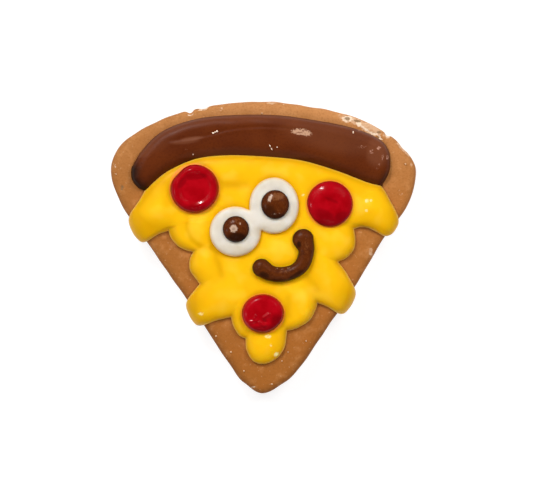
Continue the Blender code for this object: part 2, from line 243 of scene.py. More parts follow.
# The sRGB curve undone: a straight line near black, a power of 2.4 above it.
def linear(code):
    srgb = np.array([int(code[k:k + 2], 16) / 255 for k in (0, 2, 4)])
    return (*np.where(srgb <= 0.04045, srgb / 12.92, ((srgb + 0.055) / 1.055) ** 2.4).tolist(), 1)


def perMm(size):
    return 1 / (size * mm)      # a noise texture's scale for features of this size


# Adds a node with its settings, and with numbers, hex colours or links for its inputs.
def add(tree, kind, inputs=None, **settings):
    made = tree.nodes.new(kind)
    for key, value in settings.items():
        setattr(made, key, value)
    for key, value in (inputs or {}).items():
        if isinstance(value, bpy.types.NodeSocket):
            tree.links.new(value, made.inputs[key])
        else:
            made.inputs[key].default_value = linear(value) if isinstance(value, str) else value
    return made


# A material with its shader's plain values, and the place on the part that its patterns follow.
def newMaterial(name, **values):
    material = bpy.data.materials.new(name)
    material.use_nodes = True
    tree = material.node_tree
    shader = tree.nodes["Principled BSDF"]
    for key, value in values.items():
        shader.inputs[key].default_value = value
    place = add(tree, "ShaderNodeTexCoord").outputs["Object"]
    return material, tree, shader, place


# Cloudy patches of about one size in mm: none where the noise is under the low limit, and the most
# over the high one.
def patches(tree, place, size, low, high, most=1.0, detail=3.0):
    cloud = add(tree, "ShaderNodeTexNoise", {"Vector": place, "Scale": perMm(size), "Detail": detail})
    return add(tree, "ShaderNodeMapRange", {
        "Value": cloud.outputs["Fac"], "From Min": low, "From Max": high, "To Max": most}).outputs["Result"]


# A mark kept on the mesh less fine patches, so that its rim is broken up and not airbrushed.
def brokenMark(tree, place, label, size, spread=0.5, most=1.0):
    kept = add(tree, "ShaderNodeAttribute", attribute_name=label)
    worn = add(tree, "ShaderNodeMath", {
        0: kept.outputs["Fac"], 1: patches(tree, place, size, 0.3, 0.7, spread)}, operation="SUBTRACT")
    return add(tree, "ShaderNodeMapRange", {
        "Value": worn.outputs[0], "From Min": 0.0, "From Max": 0.45, "To Max": most}).outputs["Result"]


# A soft mark kept on the mesh, from nothing to its most.
def softMark(tree, label, most=1.0):
    kept = add(tree, "ShaderNodeAttribute", attribute_name=label)
    return add(tree, "ShaderNodeMath", {0: kept.outputs["Fac"], 1: most}, operation="MULTIPLY").outputs[0]


# Paints layer over layer, each with its cover, from 0 to 1, and its colour.
def paint(tree, shader, colour, layers):
    for cover, over in layers:
        colour = add(tree, "ShaderNodeMix", {0: cover, 6: colour, 7: over}, data_type="RGBA").outputs[2]
    tree.links.new(colour, shader.inputs["Base Color"])


# Fine relief from chained bumps, each with its feature size in mm, detail, strength and depth in mm.
def fineRelief(tree, shader, place, layers):
    normal = None
    for size, detail, strength, depth in layers:
        cloud = add(tree, "ShaderNodeTexNoise", {"Vector": place, "Scale": perMm(size), "Detail": detail})
        inputs = {"Height": cloud.outputs["Fac"], "Strength": strength, "Distance": depth * mm}
        if normal:
            inputs["Normal"] = normal
        normal = add(tree, "ShaderNodeBump", inputs).outputs["Normal"]
    tree.links.new(normal, shader.inputs["Normal"])


# Dough

dough = {
    "outline": [
        (-0.3, 42.5), (-15.4, 41.3), (-28.4, 37.8), (-38.6, 32.3), (-43.2, 27.1), (-44.2, 20.7),
        (-40.9, 12.0), (-33.9, 1.6), (-22.0, -15.5), (-9.0, -35.2), (-4.9, -39.9), (-0.3, -42.5),
        (4.9, -40.2), (10.1, -35.8), (18.0, -24.5), (26.4, -12.0), (35.1, 2.5), (42.0, 12.0),
        (44.4, 20.4), (43.2, 26.0), (37.4, 32.3), (26.7, 38.0), (13.6, 41.0)],
    "topRound": 3.0, "fullness": 2.8, "footRound": 1.5, "middle": (0.0, 6.0),
    "pointsRound": 900, "footRows": 6, "sideRows": 12, "roundRows": 20, "topRows": 46,
    # shares of the way from the foot to the middle of the underside's rings, and how the top's crowd
    "underShares": (0.8, 0.55, 0.3, 0.12), "crowding": 1.25,
    # unevenness of the side and the top, and depth of a rubbed, a floury and a pitted spot
    "push": 0.1, "lumps": 0.06, "scuffDepth": 0.08, "flourDepth": 0.12, "pitDepth": 0.35,
    # place, half-width and depth of the pieces missing from the rim
    "nicks": [((-21.2, 39.7), 1.0, 1.1), ((-17.2, 40.9), 1.4, 0.5), ((36.4, 33.3), 0.8, 0.6),
              ((40.8, 29.2), 1.6, 0.3)],
    # place, half-sizes, turn and strength of rubbed patches, floury patches and pits
    "scuffs": [
        ((27.4, 36.5), (2.6, 1.2), -0.35, 0.9), ((31.3, 34.6), (3.4, 1.8), -0.5, 1.0),
        ((2.4, 42.0), (1.6, 0.5), 0.0, 0.8), ((43.0, 24.0), (0.5, 0.8), 0.0, 0.7),
        ((41.3, 24.2), (0.35, 0.35), 0.0, 0.6), ((40.0, 15.5), (0.7, 0.6), 0.0, 0.5),
        ((31.3, -1.2), (0.6, 1.5), 0.1, 0.8)],
    "scuffLines": [
        ([(22.9, 38.6), (28.5, 37.1), (33.5, 34.7), (36.0, 32.9)], 1.3, 0.55),
        ([(39.4, 30.3), (41.1, 28.4), (42.4, 27.0)], 0.6, 0.85)],
    "flour": [
        ((24.5, 37.3), (1.9, 1.2), -0.1, 0.85), ((27.7, 35.8), (0.9, 0.8), 0.0, 1.0),
        ((-21.2, 38.9), (1.1, 0.5), 0.35, 0.9), ((-17.4, 40.5), (1.8, 0.4), 0.3, 0.8),
        ((-12.2, 40.0), (0.8, 0.8), 0.0, 0.42), ((6.2, 41.7), (0.6, 0.9), 0.0, 0.4),
        ((-42.9, 23.6), (0.35, 0.5), 0.0, 0.38), ((-42.9, 21.3), (0.35, 0.45), 0.0, 0.36),
        ((36.4, 32.7), (1.0, 0.8), 0.0, 1.0), ((-2.9, -40.5), (0.9, 0.35), 0.5, 0.6)],
    "flourLines": [([(28.6, 35.2), (31.4, 33.1), (33.2, 32.8), (34.4, 31.4)], 0.4, 0.8)],
    "pits": [
        ((-40.9, 17.3), (0.35, 0.8), 0.0, 1.0), ((24.5, 37.4), (0.9, 0.55), -0.1, 0.85),
        ((27.4, 36.7), (1.2, 0.4), -0.1, 0.8), ((33.6, 33.4), (0.6, 0.45), 0.0, 0.9),
        ((33.4, 31.9), (0.45, 0.45), 0.0, 0.7), ((-19.3, 40.2), (0.4, 0.3), 0.0, 0.6)],
    # painted shade darkens the rim over this width, more and more over this length below this y
    "rimWidth": 1.6, "rimFrom": 4, "rimLength": 30,
    # place in metres where each tint starts and where it is full, and its strength there
    # the left tint is painted shade on the dough's left side; the foot's colour also serves the painted rim
    # shade
    "tints": [("Y", 0.040, 0.012, 1.0, "middleColour"), ("Y", 0.012, -0.030, 1.0, "tipColour"),
              ("X", 0.005, -0.036, 0.35, "leftShadeColour"), ("Z", 0.006, 0.0002, 0.5, "footAndRimShadeColour")],
    "wideColour": "bc814e", "middleColour": "aa6b34", "tipColour": "9e5f28", "leftShadeColour": "8a5526",
    "footAndRimShadeColour": "7d4a20", "patchColour": "99602d", "grainColour": "84501f", "toastColour": "cf935c",
    "fleckColour": "e0b487", "scuffColour": "d3ab88", "flourColour": "efd9bf", "pitColour": "7d6040",
}

doughLoop = evenSteps(smoothCurve(dough["outline"], True), dough["pointsRound"], True)
doughIn = inward(doughLoop)
flatTopLoop = doughLoop + dough["topRound"] * doughIn


# Baked dough: flour, fat and molasses, rolled, cut and dried hard. It is matt and finely
# grained, paler where the wide end is toasted lightly and browner towards the tip and the foot.
# Where its skin is rubbed or chipped the floury crumb shows pale. Painted shade darkens its left
# side, and its rim more and more towards the tip.
def bakedDough():
    material, tree, shader, place = newMaterial(
        "bakedDough", **{"Roughness": 0.8, "Specular IOR Level": 0.15})
    axes = add(tree, "ShaderNodeSeparateXYZ", {"Vector": place})
    tints = []
    for axis, start, end, most, colour in dough["tints"]:
        share = add(tree, "ShaderNodeMapRange", {
            "Value": axes.outputs[axis], "From Min": start, "From Max": end, "To Max": most})
        tints.append((share.outputs["Result"], dough[colour]))
    paint(tree, shader, dough["wideColour"], tints + [
        (softMark(tree, "rim", 0.5), dough["footAndRimShadeColour"]),
        (patches(tree, place, 9, 0.42, 0.68, 0.35), dough["patchColour"]),
        (patches(tree, place, 2.6, 0.5, 0.75, 0.3), dough["toastColour"]),
        (patches(tree, place, 0.6, 0.48, 0.72, 0.36), dough["grainColour"]),
        (patches(tree, place, 0.8, 0.68, 0.76, 0.2, 1.0), dough["fleckColour"]),
        (brokenMark(tree, place, "scuff", 0.7, 0.8, 0.8), dough["scuffColour"]),
        (brokenMark(tree, place, "flour", 0.6, 0.85, 0.75), dough["flourColour"]),
        (brokenMark(tree, place, "pit", 0.5, 0.5, 0.8), dough["pitColour"])])
    fineRelief(tree, shader, place, [(2.6, 2.0, 0.25, 0.25), (0.7, 5.0, 0.4, 0.12)])
    return material


# Height of the dough's top: level, with a superellipse rounding it down to the rim.
def doughRise(points):
    _, inset = nearestOn(points, doughLoop)
    return doughTop - dough["topRound"] * (1 - roundEdge(inset, dough["topRound"], dough["fullness"]))


# Icing on the dough. On the flat top it is lifted straight up; past the edge of the flat top the
# distance is laid along the rounded edge and then down the side, lifted along the surface's normal.
def overDough(plan, lift):
    foot, beyond = nearestOn(plan, flatTopLoop)
    beyond[insideOf(plan, flatTopLoop)] = 0
    outward = (plan - foot) / np.maximum(beyond, 1e-9)[:, None]
    bend = np.minimum(beyond / dough["topRound"], math.pi / 2)
    hang = np.maximum(beyond - dough["topRound"] * math.pi / 2, 0)
    reach = (dough["topRound"] + lift) * np.sin(bend)
    flat = np.where((beyond == 0)[:, None], plan, foot + outward * reach[:, None])
    height = doughTop - dough["topRound"] + (dough["topRound"] + lift) * np.cos(bend) - hang
    return np.column_stack([flat, height])


# The outline is carried up a profile: a flat underside, a small round at the foot, the side, a
# larger round at the top, and a level top that runs in to the middle. The larger round is a
# superellipse, fuller than a circle, so that the top slopes gently almost out to the rim.
def makeDough(material):
    foot, top = dough["footRound"], dough["topRound"]
    footTurn = np.linspace(0, math.pi / 2, dough["footRows"])
    sideUp = np.linspace(foot, doughTop - top, dough["sideRows"])[1:-1]
    topTurn = np.linspace(0, math.pi / 2, dough["roundRows"])
    full = 2 / dough["fullness"]
    inset = np.concatenate([foot * (1 - np.sin(footTurn)), 0 * sideUp, top * (1 - np.cos(topTurn) ** full)])
    height = np.concatenate([foot * (1 - np.cos(footTurn)), sideUp,
                             doughTop - top + top * np.sin(topTurn) ** full])
    profile = doughLoop + inset[:, None, None] * doughIn
    middle = np.array(dough["middle"])
    footLoop = doughLoop + foot * doughIn
    under = footLoop + np.array(dough["underShares"])[:, None, None] * (middle - footLoop)
    inner = np.linspace(0, 1, dough["topRows"])[1:-1, None, None] ** dough["crowding"]
    level = flatTopLoop + inner * (middle - flatTopLoop)
    plan = np.concatenate([under, profile, level])
    z = np.concatenate([np.zeros(len(under)), height, np.full(len(level), doughTop)])
    z = np.repeat(z[:, None], plan.shape[1], axis=1)
    x, y = plan[..., 0], plan[..., 1]
    up = smoothStep(z / foot)
    side = up * smoothStep((doughTop - z) / top * 0.8)
    push = side * dough["push"] * (unevenness(x, y + 0.6 * z, 9, 5) - 1)
    flat = plan.reshape(-1, 2)
    nick = bells(flat, [([place, place], width, depth) for place, width, depth in dough["nicks"]])
    push -= up * nick.reshape(x.shape)
    plan = plan - doughIn * push[..., None]
    # Painted shade along the rim, more and more towards the tip.
    rim = np.concatenate([0 * under[:, 0, 0], bell(inset, dough["rimWidth"]), np.zeros(len(level))])
    darker = smoothStep((dough["rimFrom"] - y) / dough["rimLength"])
    marks = {"rim": (rim[:, None] * darker).reshape(-1),
             "scuff": np.maximum(blots(flat, dough["scuffs"]), streaks(flat, dough["scuffLines"])),
             "flour": np.maximum(blots(flat, dough["flour"]), streaks(flat, dough["flourLines"])),
             "pit": blots(flat, dough["pits"])}
    lumps = dough["lumps"] * (1 + unevenness(x, y, 7, 3))
    dents = (dough["scuffDepth"] * marks["scuff"] + dough["flourDepth"] * marks["flour"]
             + dough["pitDepth"] * marks["pit"]).reshape(x.shape)
    broken = marks["scuff"].reshape(x.shape) * dough["scuffDepth"] * unevenness(x, y, 0.9, 8)
    z = z - up * (lumps + dents + broken)
    above = (z > 0.5 * doughTop).reshape(-1)    # the marks belong to the upper half
    marks = {label: values * above for label, values in marks.items()}
    return addPiece("doughWedge", np.concatenate([plan, z[..., None]], -1), material,
                    ["biscuit"], marks)


# Crust band

crust = {
    "seam": [
        (-33.6, 16.8), (-31.3, 19.0), (-27.0, 22.2), (-19.7, 25.4), (-11.0, 26.5),
        (-0.3, 26.2), (10.7, 25.1), (20.9, 22.2), (29.6, 18.9), (33.9, 17.7)],
    "rightEnd": [(34.9, 18.6), (35.6, 19.7), (36.5, 21.5), (37.0, 23.6)],
    "back": [
        (37.0, 23.6), (36.5, 28.0), (33.8, 31.4), (26.7, 34.5), (16.5, 36.7), (3.5, 38.4),
        (-11.0, 38.3), (-21.0, 36.9), (-29.4, 33.6), (-35.0, 28.3), (-38.2, 23.1)],
    "leftEnd": [(-38.2, 23.1), (-38.1, 19.9), (-36.4, 17.5), (-34.8, 16.6)],
    "height": 2.75, "edge": 3.2, "seamEdge": 5.4, "seamLift": 0.15, "tuck": 0.45, "lumps": 0.05,
    "depth": 0.5,       # reaches this far below the dough's top
    "stations": 420, "acrossRows": 64, "underRows": 6, "seamPoints": 400, "seamKnotEvery": 21,
    "edgePoints": 900,
    # line, half-width and rise
    "crease": [([(-27.0, 30.9), (-21.2, 31.5), (-16.8, 32.2), (-11.0, 33.8), (-6.7, 34.5),
                 (-0.3, 34.9), (6.4, 34.5), (8.2, 34.1)], 0.5, -0.1)],
    "ridge": [([(-27.0, 30.0), (-21.2, 30.7), (-16.0, 31.8), (-11.0, 33.2), (-6.7, 33.9),
                (-0.3, 34.3), (6.4, 33.9)], 0.45, 0.08)],
    # place, half-sizes, turn and strength of the chipped spot, the dusty spots and the bloom, partly
    # painted sheen
    "chips": [((10.9, 33.4), (3.1, 1.1), -0.12, 0.8), ((12.6, 33.0), (1.6, 0.9), 0.0, 0.9)],
    "dust": [
        ((28.2, 34.3), (1.7, 0.7), -0.3, 0.6), ((31.3, 27.7), (0.8, 0.8), 0.0, 0.5),
        ((33.5, 28.7), (0.7, 0.6), 0.0, 0.7), ((34.5, 26.1), (0.45, 0.9), -0.2, 0.55),
        ((36.0, 26.0), (0.45, 0.8), 0.0, 0.6), ((33.6, 23.9), (0.6, 0.35), 0.0, 0.4),
        ((33.1, 22.8), (0.5, 0.35), 0.0, 0.4), ((28.7, 29.1), (1.6, 0.5), 0.0, 0.4),
        ((-22.3, 28.3), (0.7, 0.3), 0.0, 0.4)],
    "bloomAndSheen": [((-20.8, 31.4), (3.4, 0.6), 0.15, 0.75), ((-22.6, 30.6), (4.2, 0.7), 0.1, 0.45),
              ((-29.0, 32.0), (7.0, 3.0), 0.7, 0.15), ((33.0, 28.0), (3.5, 4.5), 0.0, 0.5),
              ((21.0, 32.5), (16.0, 5.0), -0.2, 0.28)],
    "dustRise": 0.04, "chipDepth": 0.15,
    # pale bloom and painted sheen along the back rim: strength, width, and the y above which it lies
    "backBloomAndSheen": (0.42, 3.5, 26),
    # strength and width of the painted shade at the rim all round and along the seam
    "rim": (0.25, 0.5), "seamRim": (0.45, 2.2),
    # line, half-width and strength of the painted shade, nearly black, at both ends
    "endShade": [([(-37.6, 22.5), (-37.9, 20.0), (-36.2, 17.6), (-34.5, 16.8)], 2.1, 0.95),
                ([(34.0, 18.4), (36.2, 20.8)], 1.2, 0.6)],
    "colour": "5f290d", "patchColour": "53210b", "grainColour": "431705", "bloomAndSheenColour": "a0684c",
    "dustColour": "bb8872", "chipColour": "c59a7c", "rimColour": "1f0e06",
}


# Carob icing, poured warm and set: satin brown, with painted shade at its rim and seam, nearly black at
# both ends, a faint bloom and painted sheen near its upper edge, and dusty specks where it has been rubbed.
def carobIcing():
    material, tree, shader, place = newMaterial(
        "carobIcing", **{"Roughness": 0.4, "Specular IOR Level": 0.18})
    paint(tree, shader, crust["colour"], [
        (patches(tree, place, 12, 0.4, 0.7), crust["patchColour"]),
        (patches(tree, place, 0.6, 0.48, 0.72, 0.4), crust["grainColour"]),
        (softMark(tree, "bloomAndSheen", 0.35), crust["bloomAndSheenColour"]),
        (brokenMark(tree, place, "dust", 0.4, 0.8, 0.9), crust["dustColour"]),
        (brokenMark(tree, place, "chip", 0.5, 0.9, 0.9), crust["chipColour"]),
        (softMark(tree, "rim"), crust["rimColour"])])
    fineRelief(tree, shader, place, [(1.8, 2.0, 0.12, 0.15), (0.5, 3.0, 0.25, 0.06)])
    return material


# The line between brown and yellow icing, moved down by the offset along its normals.
def crustSeam(offset):
    curve = evenSteps(smoothCurve(crust["seam"]), crust["seamPoints"])
    along = np.gradient(curve, axis=0)
    down = np.column_stack([along[:, 1], -along[:, 0]])
    return curve + offset * down / np.linalg.norm(down, axis=1, keepdims=True)


# The band's lower edge and its back edge, both from left to right. Every so many points of the seam
# are knots of the lower edge.
def crustEdges():
    seam = crustSeam(crust["tuck"])[::crust["seamKnotEvery"]]
    low = np.vstack([crust["leftEnd"], seam, crust["rightEnd"]])
    return smoothCurve(low, perSpan=20), smoothCurve(crust["back"])[::-1]


# Height above the dough: the band's height, times a rounded edge for the distance from its rim,
# times a longer rounded edge for the distance from the seam, towards which the band slopes.
def crustRise(points):
    low, back = crustEdges()
    edge = evenSteps(np.vstack([low, back[::-1][1:-1]]), crust["edgePoints"], True)
    _, inset = nearestOn(points, edge)
    _, seamInset = nearestOn(points, crustSeam(crust["tuck"]), closed=False)
    slope = roundEdge(seamInset + crust["seamLift"], crust["seamEdge"])
    rise = crust["height"] * roundEdge(inset, crust["edge"]) * slope
    rise += crust["lumps"] * unevenness(points[:, 0], points[:, 1], 10, 11) * smoothStep(inset / 3)
    rise += (bells(points, crust["crease"]) + bells(points, crust["ridge"])) * smoothStep(inset / 1.5)
    return rise + clearance * roundEdge(inset, 1), inset


# A line from the lower edge to the back edge is carried from the left end to the right end. Half of
# its stations' spacing is even and half crowds towards both ends, as a cosine does.
def makeCrust(material):
    share = (1 - np.cos(np.linspace(0, math.pi, crust["stations"] + 2))) / 2
    share = 0.5 * share + 0.5 * np.linspace(0, 1, len(share))
    ends = []
    for edge in crustEdges():
        length = np.concatenate([[0], np.cumsum(np.linalg.norm(np.diff(edge, axis=0), axis=1))])
        even = [np.interp(share * length[-1], length, column) for column in edge.T]
        ends.append(np.column_stack(even)[1:-1, None])
    low, back = ends
    across = (1 - np.cos(np.linspace(0, math.pi, crust["acrossRows"]))) / 2
    plan = low + (back - low) * across[None, :, None]
    flat = plan.reshape(-1, 2)
    rise, inset = crustRise(flat)
    _, seamInset = nearestOn(flat, crustSeam(crust["tuck"]), closed=False)
    # Pale bloom and painted sheen along the back rim; painted shade at the rim, along the seam and at both
    # ends.
    bloomAndSheen, bloomWidth, bloomAbove = crust["backBloomAndSheen"]
    backBloomAndSheen = bloomAndSheen * smoothStep(1 - inset / bloomWidth) * (flat[:, 1] > bloomAbove)
    rim, seamRim = (most * bell(gap, width)
                    for gap, (most, width) in ((inset, crust["rim"]), (seamInset, crust["seamRim"])))
    marks = {"bloomAndSheen": np.maximum(blots(flat, crust["bloomAndSheen"]), backBloomAndSheen),
             "dust": blots(flat, crust["dust"]), "chip": blots(flat, crust["chips"]),
             "rim": np.maximum(np.maximum(rim, seamRim), bells(flat, crust["endShade"]))}
    rise += crust["dustRise"] * marks["dust"] - crust["chipDepth"] * marks["chip"]
    top = np.concatenate([plan, (doughTop + rise).reshape(plan.shape[:2])[..., None]], -1)
    under = (1 - np.cos(np.linspace(math.pi, 0, crust["underRows"]))) / 2
    underPlan = low + (back - low) * under[None, :, None]
    level = np.full(underPlan.shape[:2] + (1,), doughTop - crust["depth"])
    bottom = np.concatenate([underPlan, level], -1)
    rings = np.concatenate([top[:, ::-1], bottom[:, ::-1]], 1)
    bare = np.zeros((len(plan), crust["underRows"]))
    full = {label: np.hstack([values.reshape(plan.shape[:2])[:, ::-1], bare])
            for label, values in marks.items()}
    return addPiece("crustBand", rings, material, ["crust_icing"], full)


# Yellow icing

cheese = {
    "lobes": [
        [(-36.0, 13.5), (-38.3, 10.0), (-39.6, 6.2), (-39.0, 2.6), (-36.3, 0.9), (-33.3, 2.0),
         (-30.4, 3.8), (-27.4, 4.8)],
        [(-26.7, 2.8), (-24.9, 0.6), (-22.6, -0.7), (-20.3, -1.3)],
        [(-21.3, -3.6), (-21.2, -6.5), (-19.7, -8.8), (-18.4, -10.6)],
        [(-20.3, -12.9), (-22.3, -15.8), (-23.8, -18.7), (-23.2, -21.9), (-20.6, -23.6),
         (-17.4, -22.6), (-13.6, -21.2), (-9.3, -20.2)],
        [(-8.6, -22.8), (-7.0, -25.4), (-5.1, -26.4)],
        [(-4.8, -29.7), (-2.9, -32.9), (0.3, -33.8), (3.8, -32.3), (6.2, -29.1), (7.0, -24.2)],
        [(10.4, -23.2), (13.6, -21.0), (15.2, -18.1), (15.8, -16.1)],
        [(18.8, -17.3), (22.0, -19.3), (25.2, -20.6), (27.8, -18.7), (28.1, -15.2),
         (26.1, -10.9), (24.1, -7.2), (21.8, -4.2)],
        [(24.4, -2.9), (26.4, -0.4), (26.8, 2.5), (26.4, 5.4)],
        [(28.7, 5.9), (31.9, 5.2), (35.0, 3.4), (38.1, 3.9), (39.5, 7.0), (38.3, 10.9),
         (36.7, 13.9), (35.4, 16.3)]],
    "edgeHeight": 2.0, "edge": 2.8, "swell": 0.5, "swellWidth": 6.0, "dip": 0.1, "dipWidth": 2.2,
    "middle": (0.0, 7.0), "guideDepth": 4.0, "rows": 88, "spacing": 0.36, "passes": 40,
    "underCut": 0.3, "footHeight": 0.55, "footDepth": 0.15, "underTurns": (1.2, 0.9, 0.6, 0.3),
    "guidePasses": 12, "crowding": 1.35, "lumps": 0.05,
    # line, half-width and rise of the domes and ridges, then of the creases
    "domes": [
        ([(-13.9, 22.4), (0.0, 22.6), (10.0, 21.3), (18.0, 19.6)], 2.2, 0.3),
        ([(-11.0, 15.9), (-4.5, 15.9)], 1.8, 0.5),
        ([(-32.3, 9.5), (-30.0, 12.5)], 3.0, 0.5),
        ([(-24.6, 8.0), (-24.4, 4.5), (-22.2, 1.5)], 1.3, 0.45),
        ([(-18.8, 8.5), (-18.0, 5.5)], 2.6, 0.75),
        ([(-17.6, -4.5), (-17.0, -2.5)], 2.8, 0.62),
        ([(-9.0, -4.0), (-8.0, -9.0)], 2.5, 0.25),
        ([(-13.5, -13.5), (-6.0, -15.0)], 2.6, 0.65),
        ([(1.2, 0.2), (7.0, 0.2)], 2.2, 0.9),
        ([(3.5, -3.6), (7.5, -4.0)], 1.2, 0.2),
        ([(20.0, 2.3), (23.2, 0.7)], 2.6, 0.45),
        ([(16.0, 1.0), (17.0, -4.0)], 2.0, 0.3),
        ([(17.5, -5.0), (20.5, -9.5)], 3.2, 0.34),
        ([(8.0, -12.0), (12.3, -14.2), (12.6, -17.5), (10.5, -21.0)], 2.2, 0.7),
        ([(-1.2, -30.0), (0.5, -28.0)], 2.8, 0.45),
        ([(29.0, 12.0), (33.5, 12.5)], 3.2, 0.45),
        ([(-17.6, -18.7), (-17.2, -19.0)], 0.6, 0.15)],
    "creases": [
        ([(-13.0, 18.2), (-5.0, 18.4)], 1.3, -0.42),
        ([(-21.8, 9.0), (-22.1, 5.6), (-20.6, 2.2), (-18.3, 0.4)], 0.7, -0.4),
        ([(-18.5, 0.6), (-14.5, -0.2)], 0.8, -0.35),
        ([(-14.5, -0.2), (-13.0, -4.2), (-11.9, -8.0)], 1.0, -0.5),
        ([(-7.3, -11.5), (-4.9, -11.5)], 0.3, -0.1),
        ([(7.4, -19.5), (7.2, -14.5)], 1.1, -0.35),
        ([(13.0, -8.6), (15.5, -12.0)], 1.0, -0.25)],
    # line, half-width and fall towards the tips, which droop over the dough's rounded rim
    "droops": [
        ([(-37.5, 10.5), (-33.5, 15.5)], 2.4, -0.4),
        ([(-38.5, 2.5), (-38.0, 6.0)], 3.6, -0.6), ([(-23.0, -19.5), (-21.5, -18.0)], 3.2, -0.6),
        ([(26.5, -18.0), (25.5, -15.5)], 3.0, -0.5), ([(38.5, 5.0), (38.0, 8.0)], 3.0, -0.4)],
    # line, half-width and strength of the painted shade at the drooping tips and in hollows
    "yellowShade": [
        ([(-39.0, 1.5), (-37.5, 5.0)], 4.2, 0.9), ([(-23.5, -21.5), (-21.8, -17.0)], 3.4, 0.85),
        ([(26.5, -18.5), (25.8, -14.5)], 3.2, 0.85), ([(39.5, 4.0), (38.5, 8.5)], 2.4, 0.28),
        ([(-38.0, 7.0), (-28.0, 5.8)], 3.0, 0.5), ([(-36.0, 13.5), (-30.0, 19.5)], 1.8, 0.25),
        ([(-12.4, 18.0), (-7.5, 17.8)], 1.4, 0.35),
        ([(-22.0, -15.5), (-19.5, -21.0), (-14.5, -21.3)], 2.4, 0.45),
        ([(25.0, -12.5), (23.5, -18.0)], 2.2, 0.3),
        ([(-27.9, 18.5), (-27.9, 13.0)], 1.4, 0.35), ([(30.0, 6.0), (35.0, 4.0)], 1.6, 0.5)],
    # painted shade under the first height and painted highlight over the second, each over a depth
    "level": 3.25, "levelDepth": 2.0, "domeHighlight": 3.05, "domeHighlightDepth": 0.6,
    # painted shade along the outline, along the seam and round the toppings
    "rimStrength": 0.3, "rimWidth": 0.8, "seamStrength": 0.35, "seamWidth": 1.6,
    "contactStrength": 0.52, "contactWidth": 1.9,
    # strength and width of the painted highlight along the outline and along the seam
    "rimHighlight": (1.0, 0.3), "seamHighlight": (0.7, 0.5),
    # how strongly red runs into the yellow, and how far round a drop, in shares of its half-size
    "bleed": 0.75, "bleedFrom": 1.02, "bleedTo": 1.09,
    # place, half-sizes, turn and strength of painted glints on small bubbles, painted shade on the drooping
    # tips, and dark spots: a painted shadow in a gap at the foot and a crumb of dough
    "bubbleGlints": [
        ((30.0, 13.5), (0.6, 0.6), 0.0, 0.48), ((31.2, 13.6), (0.45, 0.45), 0.0, 0.45),
        ((11.6, 15.2), (0.35, 0.35), 0.0, 0.5), ((29.9, 10.7), (0.55, 0.5), 0.0, 0.45),
        ((1.5, -25.7), (1.0, 0.6), 0.0, 0.5), ((2.3, -28.3), (0.4, 0.4), 0.0, 0.4),
        ((3.8, -30.9), (0.8, 0.6), 0.5, 0.55), ((-17.4, -18.8), (0.7, 0.35), -0.6, 0.5)],
    "tipShade": [((-23.6, -20.0), (1.0, 3.4), 0.5, 0.8), ((-22.4, -22.6), (1.8, 1.1), 0.0, 0.6),
             ((27.4, -18.2), (1.6, 2.0), 0.6, 0.4)],
    "dark": [((-18.0, -22.7), (0.5, 0.5), 0.0, 0.9), ((-22.3, -17.9), (0.6, 0.8), 0.2, 0.6)],
    "colour": "f5be12", "patchColour": "f2b80c", "yellowShadeColour": "d8a004", "paleToneAndHighlightColour": "fdd044",
    "edgeHighlightColour": "efc67c", "bleedColour": "f58a35", "bubbleGlintColour": "f6e3a0", "tipShadeColour": "c79f3a",
    "shadowAndCrumbColour": "6b3a12",
}


# Yellow icing with a yoghurt base: dense, satin and slightly see-through. Painted shade makes it deeper
# yellow in its creases, low places and drooping tips, along its outline and seam and round the toppings;
# painted highlights make it paler on its domes and along its very edge. A little red runs into it round
# the red drops: the place's offset from a drop's centre, divided by the drop's half-sizes, is 1 on the
# drop's outline.
def yellowIcing(rounds):
    material, tree, shader, place = newMaterial(
        "yellowIcing", **{"Roughness": 0.38, "Specular IOR Level": 0.15,
                          "Subsurface Weight": 0.5, "Subsurface Scale": 1.0 * mm,
                          "Subsurface Radius": (1.0, 0.6, 0.12)})
    layers = [(patches(tree, place, 8, 0.4, 0.65), cheese["patchColour"]),
              (patches(tree, place, 5, 0.52, 0.72, 0.4, 1.0), cheese["paleToneAndHighlightColour"]),
              (softMark(tree, "domeHighlight", 0.75), cheese["paleToneAndHighlightColour"]),
              (softMark(tree, "yellowShade"), cheese["yellowShadeColour"]),
              (brokenMark(tree, place, "tipShade", 1.5, 0.2), cheese["tipShadeColour"]),
              (softMark(tree, "edge", 0.35), cheese["edgeHighlightColour"])]
    for centre, size in rounds:
        offset = add(tree, "ShaderNodeVectorMath", {
            0: place, 1: (centre[0] * mm, centre[1] * mm, 0)}, operation="SUBTRACT")
        scaled = add(tree, "ShaderNodeVectorMath", {
            0: offset.outputs[0], 1: (1 / (size[0] * mm), 1 / (size[1] * mm), 0)}, operation="MULTIPLY")
        reach = add(tree, "ShaderNodeVectorMath", {0: scaled.outputs[0]}, operation="LENGTH")
        ring = add(tree, "ShaderNodeMapRange", {
            "Value": reach.outputs["Value"], "From Min": cheese["bleedFrom"],
            "From Max": cheese["bleedTo"], "To Min": cheese["bleed"], "To Max": 0.0},
            interpolation_type="SMOOTHSTEP")
        layers.append((ring.outputs["Result"], cheese["bleedColour"]))
    layers += [(brokenMark(tree, place, "bubbleGlint", 0.5, 0.3), cheese["bubbleGlintColour"]),
               (brokenMark(tree, place, "dark", 0.5, 0.2), cheese["shadowAndCrumbColour"])]
    paint(tree, shader, cheese["colour"], layers)
    fineRelief(tree, shader, place, [(3.0, 2.0, 0.12, 0.3), (0.9, 2.0, 0.1, 0.06)])
    return material


# The outline as its seam and its lobes, each with evenly spaced points from its starting corner on.
def cheeseOutline():
    seam = crustSeam(-crust["tuck"])[::-1]
    stretches = [seam]
    corner = seam[-1:]
    for index, lobe in enumerate(cheese["lobes"]):
        knots = np.vstack([corner, lobe])
        if index == len(cheese["lobes"]) - 1:
            knots = np.vstack([knots, seam[:1]])
        stretches.append(smoothCurve(knots))
        corner = knots[-1:]
    evened = []
    for stretch in stretches:
        length = np.linalg.norm(np.diff(stretch, axis=0), axis=1).sum()
        evened.append(evenSteps(stretch, round(length / cheese["spacing"]) + 1)[:-1])
    return evened


